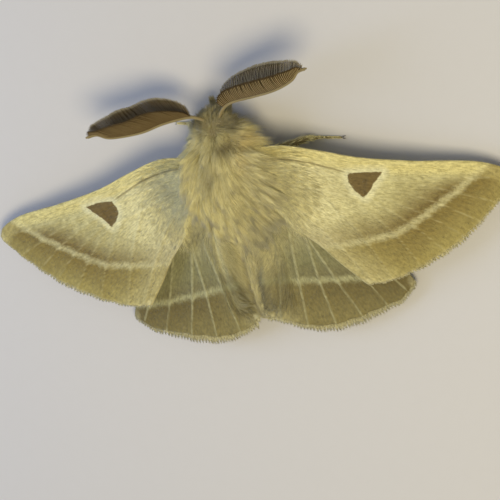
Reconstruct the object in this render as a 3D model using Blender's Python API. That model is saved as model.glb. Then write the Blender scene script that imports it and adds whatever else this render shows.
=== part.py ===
"""A male lemonia balcanica, a moth, at rest and life size, with its wings spread and its six feet on the floor.

The head points along +Y, the moth's right side is at +X and the floor is at z = 0. Every size below is
in millimetres and every angle in degrees. finish_node() turns millimetres to metres at the end.
"""

import math
import random

import bmesh
import bpy
from mathutils import Matrix, Vector
from mathutils.geometry import delaunay_2d_cdt

MM = 0.001
GAP = 0.3  # clear space between two parts that touch
SLACK = 0.08  # added to GAP where flat facets cut inside the round shape that they stand for

# Where the middle of the thorax stands, so that the box round the moth is centred on the origin
BODY_SHIFT_X = -0.069
BODY_SHIFT_Y = 0.98

# Body: y is measured from the line between the forewing hinges and the hindwing hinges
THORAX_MIDDLE = Vector((0.0, 1.0, 3.35))
THORAX_RADII = Vector((2.75, 4.25, 2.15))
THORAX_FRONT = 4.8  # the neck face
THORAX_BACK = -2.7  # the waist face
THORAX_COAT = 1.25  # how far the tips stand off the core

LOCK_THICK = 0.5
LOCK_WIDTH = 1.15
WHORL = (0.4, 8.5)
THORAX_ROWS = [  # each row's y, the x it reaches, its number of locks and their length
    (3.5, 1.5, 4, 2.7), (2.4, 1.7, 4, 3.0), (1.2, 1.6, 4, 3.2), (0.0, 1.6, 4, 3.3), (-1.3, 1.3, 4, 3.5),
]
TEGULA_LOCKS = [  # y, x, the angle that it spreads from straight back, length
    (3.3, 1.5, 68, 3.3), (2.8, 1.65, 50, 4.1), (1.9, 1.75, 36, 4.3), (0.9, 1.8, 27, 4.2), (-0.2, 1.7, 19, 4.2),
    (-1.2, 1.4, 10, 3.8),
]
RUFF_Y = 4.0
RUFF_LOCKS = [  # x, heading off straight ahead, length
    (-1.7, 28, 1.6), (-0.8, 10, 2.2), (0.1, 0, 2.5), (1.0, -10, 2.3), (1.5, -30, 2.3),
]
SHOULDER_LOCKS = [  # y, x, heading off straight ahead, length: the hair is fuller on the right in the photo
    (3.75, 1.7, -38, 2.8), (3.5, 1.85, -56, 3.8), (3.0, 1.95, -70, 3.5), (3.8, -1.5, 38, 2.0),
    (3.3, -1.8, 58, 2.2), (2.8, -1.9, 76, 2.2),
]
SHOULDER_BEND = 10  # how much further a shoulder's lock turns outwards by its tip
SHOULDER_WIDTH = 1.15  # as a share of LOCK_WIDTH
LOCK_TILT = 0.18  # how much a lock leans outwards for each millimetre from the midline
LEAN_REACH = 2.0  # and as far out as that goes on growing

HEAD_MIDDLE = Vector((0.25, 6.1, 3.15))
HEAD_RADII = Vector((1.5, 1.35, 1.35))
HEAD_COAT = 0.7
HEAD_ROWS = [  # each row's y, its angles round the head and its length
    (5.7, (40, 75, 110, 145), 1.2), (6.75, (62, 90, 118), 1.1), (6.3, (-90,), 0.9),
]
PALP_ROOT = (0.65, 7.32, 1.68)
PALP_JOINTS = [(0.03, 0.25, -0.06), (0.05, 0.5, -0.1), (0.06, 0.75, -0.06)]
PALP_RADII = (0.25, 0.3, 0.27, 0.15)

ABDOMEN_LENGTH = 7.8
ABDOMEN_HALF_WIDTH = 2.0
ABDOMEN_HALF_HEIGHT = 1.65
ABDOMEN_FRONT_Z = 3.15
ABDOMEN_TIP_Z = 1.95
ABDOMEN_COAT = 0.75
ABDOMEN_ROWS = [  # how far along each row is, and its angles round the abdomen
    (0.1, (26, 154)), (0.29, (42, 74, 106, 138)), (0.42, (36, 63, 90, 117, 144)), (0.55, (45, 75, 105, 135)),
    (0.67, (50, 90, 130)), (0.78, (72, 108)),
]

EYE_RADIUS = 0.72
EYE_SIDE = 1.22  # from the head's middle plane to the eye's middle
EYE_FORWARD = 0.25
EYE_DOWN = 0.1

# Wings: a membrane 0.5 mm thick, thinner at its fringe, with each main vein raised on its upper face
WING_THICK = 0.5
FRINGE_THICK = 0.3
VEIN_HEIGHT = 0.14
VEIN_HALF_WIDTH = 0.2
WING_GRID = 1.45
OUTLINE_STEP = 0.75
VEIN_STEP = 1.15
SCALLOP = 0.12  # how deep the bays between the veins' ends are
SCALLOPS = 8
FRINGE_WIDTH = 0.3
HINGE = (2.3, 1.8)
FORE_HINGE_Z = 4.2
HIND_HINGE_Z = 3.36
ROOT_SLACK = 0.2
FORE_SWEEP = {"right": 0.0, "left": 1.9}
HIND_SWEEP = {"right": 0.0, "left": 5.0}

# Forewing outline in plan, as the right wing lies: costa from root to apex, then outer margin, then inner margin
FORE_COSTA = [(2.6, 4.05), (5.5, 4.15), (9.0, 3.25), (12.5, 2.12), (17.0, 1.2), (21.6, 0.45), (23.9, -0.45)]
FORE_APEX = [(24.75, -1.2), (25.0, -2.0), (24.6, -2.7)]
FORE_OUTER = [(23.0, -3.85), (21.3, -5.25), (19.4, -6.6), (17.2, -7.75), (15.0, -8.7), (12.8, -9.35)]
FORE_TORNUS = [(11.5, -9.45), (10.5, -9.05)]
FORE_INNER = [(8.7, -7.0), (7.1, -5.0), (5.4, -3.3), (4.2, -1.2)]
FORE_ROOT_Y = (3.75, 0.35)
WINGS_FROM_X = 1.5  # locks of the thorax are kept clear of the wings beyond this x, between these two ys
WINGS_FROM_Y = (-7.0, 5.2)

# Hindwing: costa under the forewing, outer margin, then the inner margin beside the abdomen
HIND_COSTA = [(4.6, 0.6), (8.0, -2.6), (11.5, -6.4), (13.5, -8.7)]
HIND_OUTER = [(14.15, -9.9), (13.9, -10.9), (12.9, -11.65), (11.0, -12.25), (8.6, -12.95), (6.0, -13.4),
              (3.8, -13.2), (2.0, -12.6), (0.8, -12.05)]
HIND_CORNER = [(0.3, -11.5)]
HIND_INNERMOST_X = 0.35
HIND_ROOT_Y = (1.2, -1.6)

# Veins, each from its branching point to the margin
FORE_VEINS = {
    "subcosta": [(2.95, 3.15), (6.0, 3.1), (9.5, 2.25), (12.5, 1.45), (15.4, 1.15), (17.6, 1.0)],
    "radius": [(3.05, 2.2), (6.5, 1.85), (10.5, 0.95), (14.6, 0.0), (19.0, -0.6), (22.8, -1.1)],
    "radius_4": [(14.6, 0.0), (18.4, -1.4), (22.9, -3.3)],
    "cell_end": [(12.9, 0.42), (12.6, -0.5), (12.4, -1.4)],
    "media_1": [(12.7, -0.1), (17.6, -2.4), (21.5, -4.9)],
    "media_2": [(12.5, -0.8), (16.9, -3.6), (19.9, -6.0)],
    "cubitus": [(3.15, 1.5), (6.5, 0.5), (9.6, -0.5), (12.4, -1.4), (15.4, -4.1), (18.0, -7.1)],
    "cubitus_1a": [(10.8, -0.9), (13.8, -4.7), (15.6, -8.1)],
    "cubitus_2": [(8.6, -0.2), (11.2, -4.8), (12.9, -8.9)],
    "anal": [(3.4, 0.9), (6.2, -1.7), (8.7, -4.9), (11.1, -8.7)],
}
HIND_VEINS = {
    "radius": [(3.6, 0.2), (7.2, -3.3), (10.6, -7.0), (13.2, -10.3)],
    "media_1": [(7.2, -3.3), (9.3, -7.7), (11.3, -11.6)],
    "media_3": [(5.6, -3.9), (7.2, -8.2), (8.9, -12.3)],
    "cubitus": [(3.3, -0.7), (4.9, -2.6), (5.6, -3.9), (5.9, -8.5), (6.4, -12.7)],
    "cubitus_2": [(4.4, -3.3), (4.1, -8.0), (3.9, -12.6)],
    "anal": [(3.0, -1.5), (2.9, -5.0), (2.3, -9.0), (1.6, -11.9)],
}

# Antennae: a stem that tapers, with two rows of branches that open forwards like a half-closed book
ANTENNA_ROUTE = {  # each stem from its root on the head to its hooked tip
    "right": [(0.85, 6.95, 3.95), (1.5, 7.8, 4.15), (2.6, 8.4, 4.45), (5.0, 8.8, 5.0), (7.3, 9.25, 5.6),
              (9.1, 9.95, 6.05), (10.0, 10.7, 6.35), (10.9, 10.95, 6.6)],
    "left": [(-0.35, 6.95, 3.95), (-0.9, 7.3, 4.17), (-1.8, 7.52, 4.3), (-4.0, 7.3, 4.6), (-6.2, 6.82, 4.92),
             (-8.9, 6.75, 5.28), (-10.1, 7.2, 5.46), (-11.1, 7.1, 5.6)],
}
STEM_RADIUS = (0.3, 0.25)
STEM_STEP = 0.75
BRANCHES = 12
BRANCH_REACH = (0.13, 0.955)  # the stretch of the stem that bears branches
BRANCH_LENGTH = 2.45
BRANCH_SHORTEST = 0.6
LONGEST_AT = 0.42  # where along that stretch the branches are longest
RISE_OVER = 0.45  # the shares of it over which they lengthen and shorten again
FALL_OVER = 0.62
BRANCH_LEAN = 0.45  # how far a branch leans towards the tip, as a share of its length
BRANCH_RADII = (0.25, 0.24, 0.2, 0.12)
ROW_TILT = {"upper": 49.0, "lower": -8.0}

# Legs: the y of each root on the thorax, then the knee, ankle, heel and toe
LEG_ROOT_ANGLE = -50.0
LEG_RADII = (0.46, 0.5, 0.42, 0.32, 0.3, 0.2)
LEGS = {
    "foreleg_right": (3.7, [(1.15, 4.95, 1.45), (0.35, 5.75, 0.62), (0.05, 6.5, 0.2), (-0.2, 7.4, 0.12)]),
    "foreleg_left": (3.7, [(-2.5, 5.35, 1.75), (-3.3, 5.85, 0.8), (-3.95, 6.0, 0.2), (-5.0, 6.15, 0.12)]),
    "midleg_right": (1.7, [(4.35, 3.25, 2.0), (7.0, 3.6, 0.75), (7.9, 3.5, 0.2), (10.0, 3.25, 0.12)]),
    "midleg_left": (1.7, [(-4.2, 1.7, 2.0), (-6.4, 1.0, 0.75), (-7.3, 0.75, 0.2), (-9.3, 0.3, 0.12)]),
    "hindleg_right": (-0.5, [(3.3, -2.0, 1.7), (4.4, -4.6, 0.75), (4.65, -5.4, 0.2), (5.2, -7.3, 0.12)]),
    "hindleg_left": (-0.5, [(-3.3, -2.0, 1.7), (-4.5, -4.6, 0.75), (-4.8, -5.4, 0.2), (-5.5, -7.3, 0.12)]),
}

SEED = 20

COLOURS = {
    "coat": (0.62, 0.52, 0.30, 1.0),
    "head_coat": (0.40, 0.29, 0.14, 1.0),
    "wing": (0.55, 0.48, 0.28, 1.0),
    "antenna": (0.24, 0.16, 0.09, 1.0),
    "eye": (0.03, 0.02, 0.015, 1.0),
    "leg": (0.45, 0.36, 0.20, 1.0),
}
ROUGHNESS = {"eye": 0.2}


def clear_scene():
    for obj in list(bpy.data.objects):
        bpy.data.objects.remove(obj)


def material(name):
    found = bpy.data.materials.get(name)
    if found:
        return found
    made = bpy.data.materials.new(name)
    made.use_nodes = True
    shader = made.node_tree.nodes["Principled BSDF"]
    shader.inputs["Base Color"].default_value = COLOURS[name]
    shader.inputs["Roughness"].default_value = ROUGHNESS.get(name, 0.85)
    shader.inputs["Metallic"].default_value = 0.0
    return made


def mesh_object(name, points, faces):
    """An object whose mesh has these points, in millimetres until finish_node() scales it."""
    mesh = bpy.data.meshes.new(name)
    mesh.from_pydata([tuple(p) for p in points], [], faces)
    mesh.validate()
    obj = bpy.data.objects.new(name, mesh)
    bpy.context.scene.collection.objects.link(obj)
    return obj


def smooth_curve(points, step):
    """Points about step apart on a Catmull-Rom curve through the given ones."""
    pts = [Vector(p) for p in points]
    ends = [pts[0] * 2 - pts[1]] + pts + [pts[-1] * 2 - pts[-2]]
    made = []
    for a, b, c, d in zip(ends, ends[1:], ends[2:], ends[3:]):
        count = max(1, round((c - b).length / step))
        for i in range(count):
            t = i / count
            made.append(0.5 * ((2 * b) + (c - a) * t + (2 * a - 5 * b + 4 * c - d) * t * t
                               + (3 * b - a - 3 * c + d) * t ** 3))
    made.append(pts[-1])
    return made


def thorax_half_width(y, z):
    """Half the core's width at this y and height, 0 where the core doesn't reach."""
    along = (y - THORAX_MIDDLE.y) / THORAX_RADII.y
    high = (z - THORAX_MIDDLE.z) / THORAX_RADII.z
    return THORAX_RADII.x * math.sqrt(max(0.0, 1 - along * along - high * high))


def abdomen_share(y):
    return (THORAX_BACK - GAP - y) / ABDOMEN_LENGTH


def abdomen_scale(share):
    """The abdomen's girth as a share of its greatest, from the waist at 0 to the tip at 1."""
    share = min(1.0, max(0.0, share))
    return (1 - share ** 2.3) ** 0.75 * (0.93 + 0.07 * math.sin(math.pi * min(1.0, share * 2)))


def abdomen_half_width(y):
    return ABDOMEN_HALF_WIDTH * abdomen_scale(abdomen_share(y))


def abdomen_middle_z(share):
    return ABDOMEN_FRONT_Z + (ABDOMEN_TIP_Z - ABDOMEN_FRONT_Z) * share


def fore_height(x, y):
    """The forewing's middle surface: it droops outwards and towards its hind margin."""
    out = abs(x) - HINGE[0]
    return FORE_HINGE_Z - 0.055 * out - 0.0027 * out * out - 0.07 * (3.6 - y)


def hind_height(x, y):
    out = abs(x) - HINGE[0]
    return HIND_HINGE_Z - 0.075 * out - 0.002 * out * out - 0.095 * (3.6 - y)


def tube(points, radii, sides, floor=None):
    """A closed tube through points, with a ring of that radius at each.

    Each ring's side lies level, so that a tube with an even half number of sides has an edge all along its
    underside. With a floor, what would be below it is laid flat on it.
    """
    pts = [Vector(p) for p in points]
    first = 0.5 if sides % 4 == 0 else 0.0
    verts, faces = [], []
    for i, p in enumerate(pts):
        ahead = (pts[min(i + 1, len(pts) - 1)] - pts[max(i - 1, 0)]).normalized()
        side = ahead.cross(Vector((0, 0, 1))).normalized()
        up = side.cross(ahead).normalized()
        for k in range(sides):
            turn = 2 * math.pi * (k + first) / sides
            q = p + side * radii[i] * math.cos(turn) + up * radii[i] * math.sin(turn)
            if floor is not None:
                q.z = max(q.z, floor)
            verts.append(q)
    for i in range(len(pts) - 1):
        for k in range(sides):
            a, b = i * sides + k, i * sides + (k + 1) % sides
            faces.append((a, b, b + sides, a + sides))
    faces.append(tuple(reversed(range(sides))))
    last = (len(pts) - 1) * sides
    faces.append(tuple(range(last, last + sides)))
    return verts, faces


def outward_faces(obj):
    made = bmesh.new()
    made.from_mesh(obj.data)
    bmesh.ops.recalc_face_normals(made, faces=made.faces)
    if made.calc_volume(signed=True) < 0:
        bmesh.ops.reverse_faces(made, faces=made.faces)
    bmesh.ops.triangulate(made, faces=made.faces)
    made.to_mesh(obj.data)
    made.free()


def boolean(obj, pieces, operation):
    """Joins the pieces to obj, or cuts them from it, in one Boolean that is applied, and removes them."""
    group = bpy.data.collections.new("pieces")
    bpy.context.scene.collection.children.link(group)
    for piece in pieces:
        outward_faces(piece)
        bpy.context.scene.collection.objects.unlink(piece)
        group.objects.link(piece)
    modifier = obj.modifiers.new("join", "BOOLEAN")
    modifier.operation = operation
    modifier.solver = "EXACT"
    modifier.operand_type = "COLLECTION"
    modifier.collection = group
    graph = bpy.context.evaluated_depsgraph_get()
    joined = bpy.data.meshes.new_from_object(obj.evaluated_get(graph))
    obj.modifiers.clear()
    obj.data = joined
    for piece in pieces:
        bpy.data.objects.remove(piece)
    bpy.data.collections.remove(group)


def keep_largest(obj):
    """Merges the shortest edges where that leaves the mesh closed, and keeps its largest closed surface."""
    for dist in (0.004, 0.001, 0.0):
        made = bmesh.new()
        made.from_mesh(obj.data)
        bmesh.ops.triangulate(made, faces=made.faces)
        if dist:
            bmesh.ops.remove_doubles(made, verts=made.verts, dist=dist)
            bmesh.ops.dissolve_degenerate(made, edges=made.edges, dist=dist)
            bmesh.ops.triangulate(made, faces=made.faces)
        if dist == 0.0 or all(len(edge.link_faces) == 2 for edge in made.edges):
            break
        made.free()
    left = set(made.faces)
    shells = []
    while left:
        shell, todo = set(), [next(iter(left))]
        while todo:
            face = todo.pop()
            if face in shell:
                continue
            shell.add(face)
            todo += [other for edge in face.edges for other in edge.link_faces if other not in shell]
        left -= shell
        shells.append(shell)
    best = max(shells, key=len)
    bmesh.ops.delete(made, geom=[f for f in made.faces if f not in best], context="FACES")
    loose = [v for v in made.verts if not v.link_faces]
    bmesh.ops.delete(made, geom=loose, context="VERTS")
    made.to_mesh(obj.data)
    made.free()


def finish_node(obj, finish):
    """Scales the mesh to metres, shifts it to its place in the frame and gives it its material."""
    for vertex in obj.data.vertices:
        vertex.co = (vertex.co + Vector((BODY_SHIFT_X, BODY_SHIFT_Y, 0.0))) * MM
    obj.data.materials.clear()
    obj.data.materials.append(material(finish))
    obj.data.shade_smooth()
    obj.data.set_sharp_from_angle(angle=math.radians(50))


def body_core(name, ring_at, shares, sides=20):
    """A closed body from rings. ring_at(share) gives a ring's middle, half width and half height."""
    verts, faces = [], []
    for share in shares:
        middle, wide, high = ring_at(share)
        for k in range(sides):
            turn = 2 * math.pi * k / sides
            verts.append(middle + Vector((wide * math.cos(turn), 0, high * math.sin(turn))))
    for i in range(len(shares) - 1):
        for k in range(sides):
            a, b = i * sides + k, i * sides + (k + 1) % sides
            faces.append((a, b, b + sides, a + sides))
    faces.append(tuple(reversed(range(sides))))
    last = (len(shares) - 1) * sides
    faces.append(tuple(range(last, last + sides)))
    obj = mesh_object(name, verts, faces)
    outward_faces(obj)
    return obj


def lock(path, width, thick, face_out):
    """A flat tapered lock: its path runs from a root inside the core to its tip, face_out is its flat side."""
    pts = [Vector(p) for p in path]
    count = len(pts)
    verts, faces = [], []
    shares = [0.75, 1.0, 0.92, 0.6]
    for i in range(count - 1):
        share = shares[i * (len(shares) - 1) // max(1, count - 2)]
        ahead = (pts[i + 1] - pts[max(0, i - 1)]).normalized()
        side = ahead.cross(face_out[i]).normalized()
        up = side.cross(ahead).normalized()
        w, t = width / 2 * share, thick / 2 * min(1.0, share + 0.2)
        verts += [pts[i] + side * w, pts[i] + up * t, pts[i] - side * w, pts[i] - up * t]
    verts.append(pts[-1])
    for i in range(count - 2):
        for k in range(4):
            a, b = i * 4 + k, i * 4 + (k + 1) % 4
            faces.append((a, b, b + 4, a + 4))
    faces.append((3, 2, 1, 0))
    last = (count - 2) * 4
    tip = len(verts) - 1
    for k in range(4):
        faces.append((last + k, last + (k + 1) % 4, tip))
    return mesh_object("lock", verts, faces)


def clear_height(x, y):
    """The height above which a lock of the thorax is GAP clear of the wings, the abdomen and the head."""
    side = abs(x)
    tops = []
    if side > WINGS_FROM_X and WINGS_FROM_Y[0] < y < WINGS_FROM_Y[1]:
        tops.append(fore_height(x, y) if y > 2.6 - side else hind_height(x, y) + 0.1)
        tops[0] += WING_THICK / 2 + VEIN_HEIGHT
    if y < THORAX_BACK + 0.3 and side < 2.6:
        share = abdomen_share(y)
        tops.append(abdomen_middle_z(share) + ABDOMEN_HALF_HEIGHT * math.sqrt(max(0.0, 1 - (side / 2.6) ** 2)))
    if y > THORAX_FRONT - 0.3 and side < 2.3:
        tops.append(HEAD_MIDDLE.z + HEAD_RADII.z * math.sqrt(max(0.0, 1 - (side / 2.3) ** 2)) + 0.2)
    return max(tops) + GAP + SLACK + LOCK_THICK / 2 if tops else None


def core_height(x, y):
    """The height of the thorax core's upper side, or None beside it."""
    left = 1 - ((y - THORAX_MIDDLE.y) / THORAX_RADII.y) ** 2 - (x / THORAX_RADII.x) ** 2
    if left <= 0 or not THORAX_BACK < y < THORAX_FRONT:
        return None
    return THORAX_MIDDLE.z + THORAX_RADII.z * math.sqrt(left)


def ellipsoid_point(middle, radii, y, angle, depth):
    """The point depth outside an ellipsoid at this y and angle round it, and the way out there."""
    along = max(-0.985, min(0.985, (y - middle.y) / radii.y))
    girth = math.sqrt(1 - along * along)
    turn = math.radians(angle)
    unit = Vector((math.cos(turn) * girth, along, math.sin(turn) * girth))
    out = Vector((unit.x / radii.x, unit.y / radii.y, unit.z / radii.z)).normalized()
    on = middle + Vector((radii.x * unit.x, radii.y * unit.y, radii.z * unit.z))
    on.y = y
    return on + out * depth, out


def thorax_ring(y):
    along = (y - THORAX_MIDDLE.y) / THORAX_RADII.y
    girth = math.sqrt(1 - along * along)
    return Vector((0, y, THORAX_MIDDLE.z)), THORAX_RADII.x * girth, THORAX_RADII.z * girth


def back_lock(x, y, heading, length, width, bend, lift):
    """A lock on the upper side, laid out in plan: it leaves the core at x, y, heading so many degrees off +Y."""
    path, face_out = [], []
    low = core_height(x, y)
    for share, rise in ((-0.1, -0.5), (0.14, 0.35), (0.45, 0.75), (0.75, 0.95), (1.0, 1.0)):
        turn = math.radians(heading + bend * share)
        px = x - math.sin(turn) * length * share
        py = y + math.cos(turn) * length * share
        core = core_height(px, py)
        # past the core the lock keeps sinking, down to what it has to clear
        low = core if core is not None else low - 0.22 * length
        high = low + lift * rise
        clear = clear_height(px, py)
        if share > 0.1 and clear is not None:
            high = max(high, clear)
        path.append(Vector((px, py, high)))
        lean = max(-LEAN_REACH, min(LEAN_REACH, px)) * LOCK_TILT
        face_out.append(Vector((lean, 0, 1)).normalized())
    return lock(path, width, LOCK_THICK, face_out)


def breast_lock(y, angle, length, width, draw):
    path, face_out = [], []
    for share, rise in ((-0.08, -0.45), (0.2, 0.4), (0.6, 0.85), (1.0, 1.0)):
        here = max(y - length * max(0.0, share), THORAX_BACK + 0.1)
        on, out = ellipsoid_point(THORAX_MIDDLE, THORAX_RADII, here, angle + draw.uniform(-3, 3), 0.5 * rise)
        path.append(on)
        face_out.append(out)
    return lock(path, width, LOCK_THICK, face_out)


def thorax():
    rows = 9
    ys = [THORAX_FRONT + (THORAX_BACK - THORAX_FRONT) * i / rows for i in range(rows + 1)]
    obj = body_core("thorax", thorax_ring, ys, sides=22)
    draw = random.Random(SEED)
    pieces = []
    # the back: rows of long locks that part from a whorl ahead of the neck
    for y, half, count, length in THORAX_ROWS:
        for i in range(count):
            x = -half + 2 * half * i / (count - 1) + draw.uniform(-0.12, 0.12)
            heading = 180 + math.degrees(math.atan2(x - WHORL[0], WHORL[1] - y))
            pieces.append(back_lock(x, y + draw.uniform(-0.2, 0.2), heading + draw.uniform(-5, 5),
                                    length * draw.uniform(0.88, 1.12), LOCK_WIDTH * draw.uniform(0.9, 1.1),
                                    draw.uniform(-10, 10), THORAX_COAT * draw.uniform(0.85, 1.1)))
    # the tegulae: locks that spread over the wing bases
    for side in (-1, 1):
        for y, x, heading, length in TEGULA_LOCKS:
            pieces.append(back_lock(side * x, y, 180 + side * heading + draw.uniform(-4, 4), length,
                                    LOCK_WIDTH * 1.05, -side * 14, THORAX_COAT * 0.55))
    # the ruff over the neck
    for x, heading, length in RUFF_LOCKS:
        pieces.append(back_lock(x, RUFF_Y, heading, length, LOCK_WIDTH, 0, THORAX_COAT * 0.8))
    # the shoulders, ahead of the forewings' roots
    for y, x, heading, length in SHOULDER_LOCKS:
        bend = math.copysign(SHOULDER_BEND, heading)
        width = LOCK_WIDTH * SHOULDER_WIDTH
        pieces.append(back_lock(x, y, heading, length, width, bend, THORAX_COAT * 0.6))
    # the breast between the legs
    for y in (4.1, 2.7, 1.3, -0.1):
        for angle in (-78, -102):
            pieces.append(breast_lock(y, angle, 1.8, 0.95, draw))
    boolean(obj, pieces, "UNION")
    keep_largest(obj)
    finish_node(obj, "coat")


def head_ring(y):
    along = (y - HEAD_MIDDLE.y) / HEAD_RADII.y
    girth = math.sqrt(max(0.02, 1 - along * along))
    return Vector((HEAD_MIDDLE.x, y, HEAD_MIDDLE.z)), HEAD_RADII.x * girth, HEAD_RADII.z * girth


def head_lock(y, angle, length, lift, width, draw):
    path, face_out = [], []
    for share, rise in ((-0.1, -0.4), (0.2, 0.35), (0.6, 0.85), (1.0, 1.0)):
        here = y + length * max(0.0, share)
        inside = min(here, HEAD_MIDDLE.y + HEAD_RADII.y * 0.93)
        on, out = ellipsoid_point(HEAD_MIDDLE, HEAD_RADII, inside, angle + draw.uniform(-3, 3), lift * rise)
        on.y += here - inside
        path.append(on)
        face_out.append(out)
    return lock(path, width, LOCK_THICK * 0.9, face_out)


def head():
    back = THORAX_FRONT + GAP
    front = HEAD_MIDDLE.y + HEAD_RADII.y * 0.98
    ys = [back + (front - back) * math.sin(math.pi / 2 * i / 6) for i in range(7)]
    obj = body_core("head", head_ring, ys, sides=16)
    draw = random.Random(SEED + 1)
    pieces = []
    for y, angles, length in HEAD_ROWS:
        for angle in angles:
            pieces.append(head_lock(y, angle, length, HEAD_COAT * 0.6, 0.78, draw))
    boolean(obj, pieces, "UNION")
    sockets = [eye_shape("socket", side, GAP + SLACK / 2) for side in ("right", "left")]
    roots = [antenna_socket(side) for side in ("right", "left")]
    boolean(obj, sockets + roots, "DIFFERENCE")
    keep_largest(obj)
    finish_node(obj, "head_coat")


def palps():
    """Two short feelers of three joints that jut forwards under the face."""
    for side, way in (("right", 1), ("left", -1)):
        root = Vector((HEAD_MIDDLE.x + way * PALP_ROOT[0], PALP_ROOT[1], PALP_ROOT[2]))
        points = [root] + [root + Vector((way * x, y, z)) for x, y, z in PALP_JOINTS]
        verts, faces = tube(points, PALP_RADII, 6)
        obj = mesh_object("palp_" + side, verts, faces)
        outward_faces(obj)
        finish_node(obj, "head_coat")


def eye_middle(side):
    way = 1 if side == "right" else -1
    return HEAD_MIDDLE + Vector((way * EYE_SIDE, EYE_FORWARD, -EYE_DOWN))


def eye_shape(name, side, grow):
    made = bmesh.new()
    bmesh.ops.create_icosphere(made, subdivisions=2, radius=EYE_RADIUS + grow)
    mesh = bpy.data.meshes.new(name)
    made.to_mesh(mesh)
    made.free()
    obj = bpy.data.objects.new(name, mesh)
    bpy.context.scene.collection.objects.link(obj)
    mesh.transform(Matrix.Translation(eye_middle(side)))
    return obj


def eyes():
    for side in ("right", "left"):
        obj = eye_shape("eye_" + side, side, 0.0)
        outward_faces(obj)
        finish_node(obj, "eye")


def antenna_socket(side):
    """The hollow in the head and its locks that keeps them clear of the stem's first stretch."""
    path = smooth_curve(ANTENNA_ROUTE[side], STEM_STEP)
    points = [path[0] * 1.6 - path[1] * 0.6, *path[:4]]
    verts, faces = tube(points, [STEM_RADIUS[0] + GAP + SLACK / 2] * len(points), 8)
    return mesh_object("stem_socket", verts, faces)


def branch_length(share):
    """How long a branch is, this far along the stretch that bears them."""
    past = share - LONGEST_AT
    if past > 0:
        length = BRANCH_LENGTH * (1 - (past / FALL_OVER) ** 2)
    else:
        length = BRANCH_LENGTH * math.sqrt(1 - (-past / RISE_OVER) ** 3)
    return max(length, BRANCH_SHORTEST)


def antenna(side):
    path = smooth_curve(ANTENNA_ROUTE[side], STEM_STEP)
    thick, thin = STEM_RADIUS
    radii = [thick + (thin - thick) * i / (len(path) - 1) for i in range(len(path))]
    radii[-1] = BRANCH_RADII[-1]
    verts, faces = tube(path, radii, 8)
    obj = mesh_object("antenna_" + side, verts, faces)
    outward_faces(obj)
    fine = smooth_curve(ANTENNA_ROUTE[side], STEM_STEP / 12)
    pieces = []
    for tilt in ROW_TILT.values():
        for i in range(BRANCHES):
            share = i / (BRANCHES - 1)
            k = round((BRANCH_REACH[0] + (BRANCH_REACH[1] - BRANCH_REACH[0]) * share) * (len(fine) - 1))
            base = fine[k]
            ahead = (fine[k + 2] - fine[k - 2]).normalized()
            forward = Vector((0, 0, 1)).cross(ahead)
            if forward.y < 0:
                forward.negate()
            forward.normalize()
            up = forward.cross(ahead)
            if up.z < 0:
                up.negate()
            turn = math.radians(tilt)
            out = forward * math.cos(turn) + up * math.sin(turn)
            size = branch_length(share)
            points = []
            for far in (0.0, 0.35, 0.7, 1.0):
                points.append(base + out * size * far + ahead * size * BRANCH_LEAN * far ** 1.4)
            verts, faces = tube(points, BRANCH_RADII, 4)
            pieces.append(mesh_object("branch", verts, faces))
    boolean(obj, pieces, "UNION")
    keep_largest(obj)
    finish_node(obj, "antenna")


def abdomen_ring(share):
    scale = abdomen_scale(share)
    y = THORAX_BACK - GAP - ABDOMEN_LENGTH * share
    return (Vector((0, y, abdomen_middle_z(share))), ABDOMEN_HALF_WIDTH * scale, ABDOMEN_HALF_HEIGHT * scale)


def abdomen_lock(share, angle, length, width, lift, draw):
    path, face_out = [], []
    for part, rise in ((-0.1, -0.5), (0.2, 0.3), (0.6, 0.8), (1.0, 1.0)):
        here = share + length / ABDOMEN_LENGTH * max(0.0, part)
        middle, wide, high = abdomen_ring(min(here, 0.97))
        middle.y = THORAX_BACK - GAP - ABDOMEN_LENGTH * here
        turn = math.radians(angle + draw.uniform(-2, 2))
        out = Vector((math.cos(turn), 0, math.sin(turn)))
        point = middle + Vector((wide * math.cos(turn), 0, high * math.sin(turn))) + out * lift * rise
        if angle > 0 and abs(point.x) + width / 2 > abdomen_half_width(point.y):
            point.z = max(point.z, hind_height(point.x, point.y) + WING_THICK + GAP + 0.1)
        path.append(point)
        face_out.append(out)
    return lock(path, width, LOCK_THICK, face_out)


def abdomen():
    shares = [0.0, 0.12, 0.26, 0.4, 0.54, 0.67, 0.78, 0.87, 0.94, 0.985]
    obj = body_core("abdomen", abdomen_ring, shares, sides=18)
    draw = random.Random(SEED + 2)
    pieces = []
    for share, angles in ABDOMEN_ROWS:
        width = 1.1 * (0.4 + 0.6 * abdomen_scale(share))
        for angle in angles:
            pieces.append(abdomen_lock(share, angle, 2.1, width, ABDOMEN_COAT * 0.6, draw))
        pieces.append(abdomen_lock(share, -90, 1.6, width, 0.3, draw))
    boolean(obj, pieces, "UNION")
    keep_largest(obj)
    finish_node(obj, "coat")


def turned(points, degrees):
    """Sweeps plan points back round the hinge."""
    c, s = math.cos(math.radians(degrees)), math.sin(math.radians(degrees))
    made = []
    for x, y in points:
        dx, dy = x - HINGE[0], y - HINGE[1]
        made.append((HINGE[0] + c * dx + s * dy, HINGE[1] - s * dx + c * dy))
    return made


def scalloped(curve):
    """The outer margin, drawn in a little between the ends of the veins."""
    made = []
    for i, p in enumerate(curve):
        t = i / (len(curve) - 1)
        ahead = (curve[min(i + 1, len(curve) - 1)] - curve[max(i - 1, 0)]).normalized()
        inward = Vector((ahead.y, -ahead.x))
        made.append(p + inward * SCALLOP * (1 - abs(math.sin(math.pi * SCALLOPS * t))))
    return made


def root_edge(height, ys, steps):
    """Points GAP clear of the thorax, from the first y to the second."""
    made = []
    for i in range(steps + 1):
        y = ys[0] + (ys[1] - ys[0]) * i / steps
        underside = height(HINGE[0], y) - WING_THICK / 2
        made.append(Vector((thorax_half_width(y, underside) + GAP + ROOT_SLACK, y)))
    return made


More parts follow.
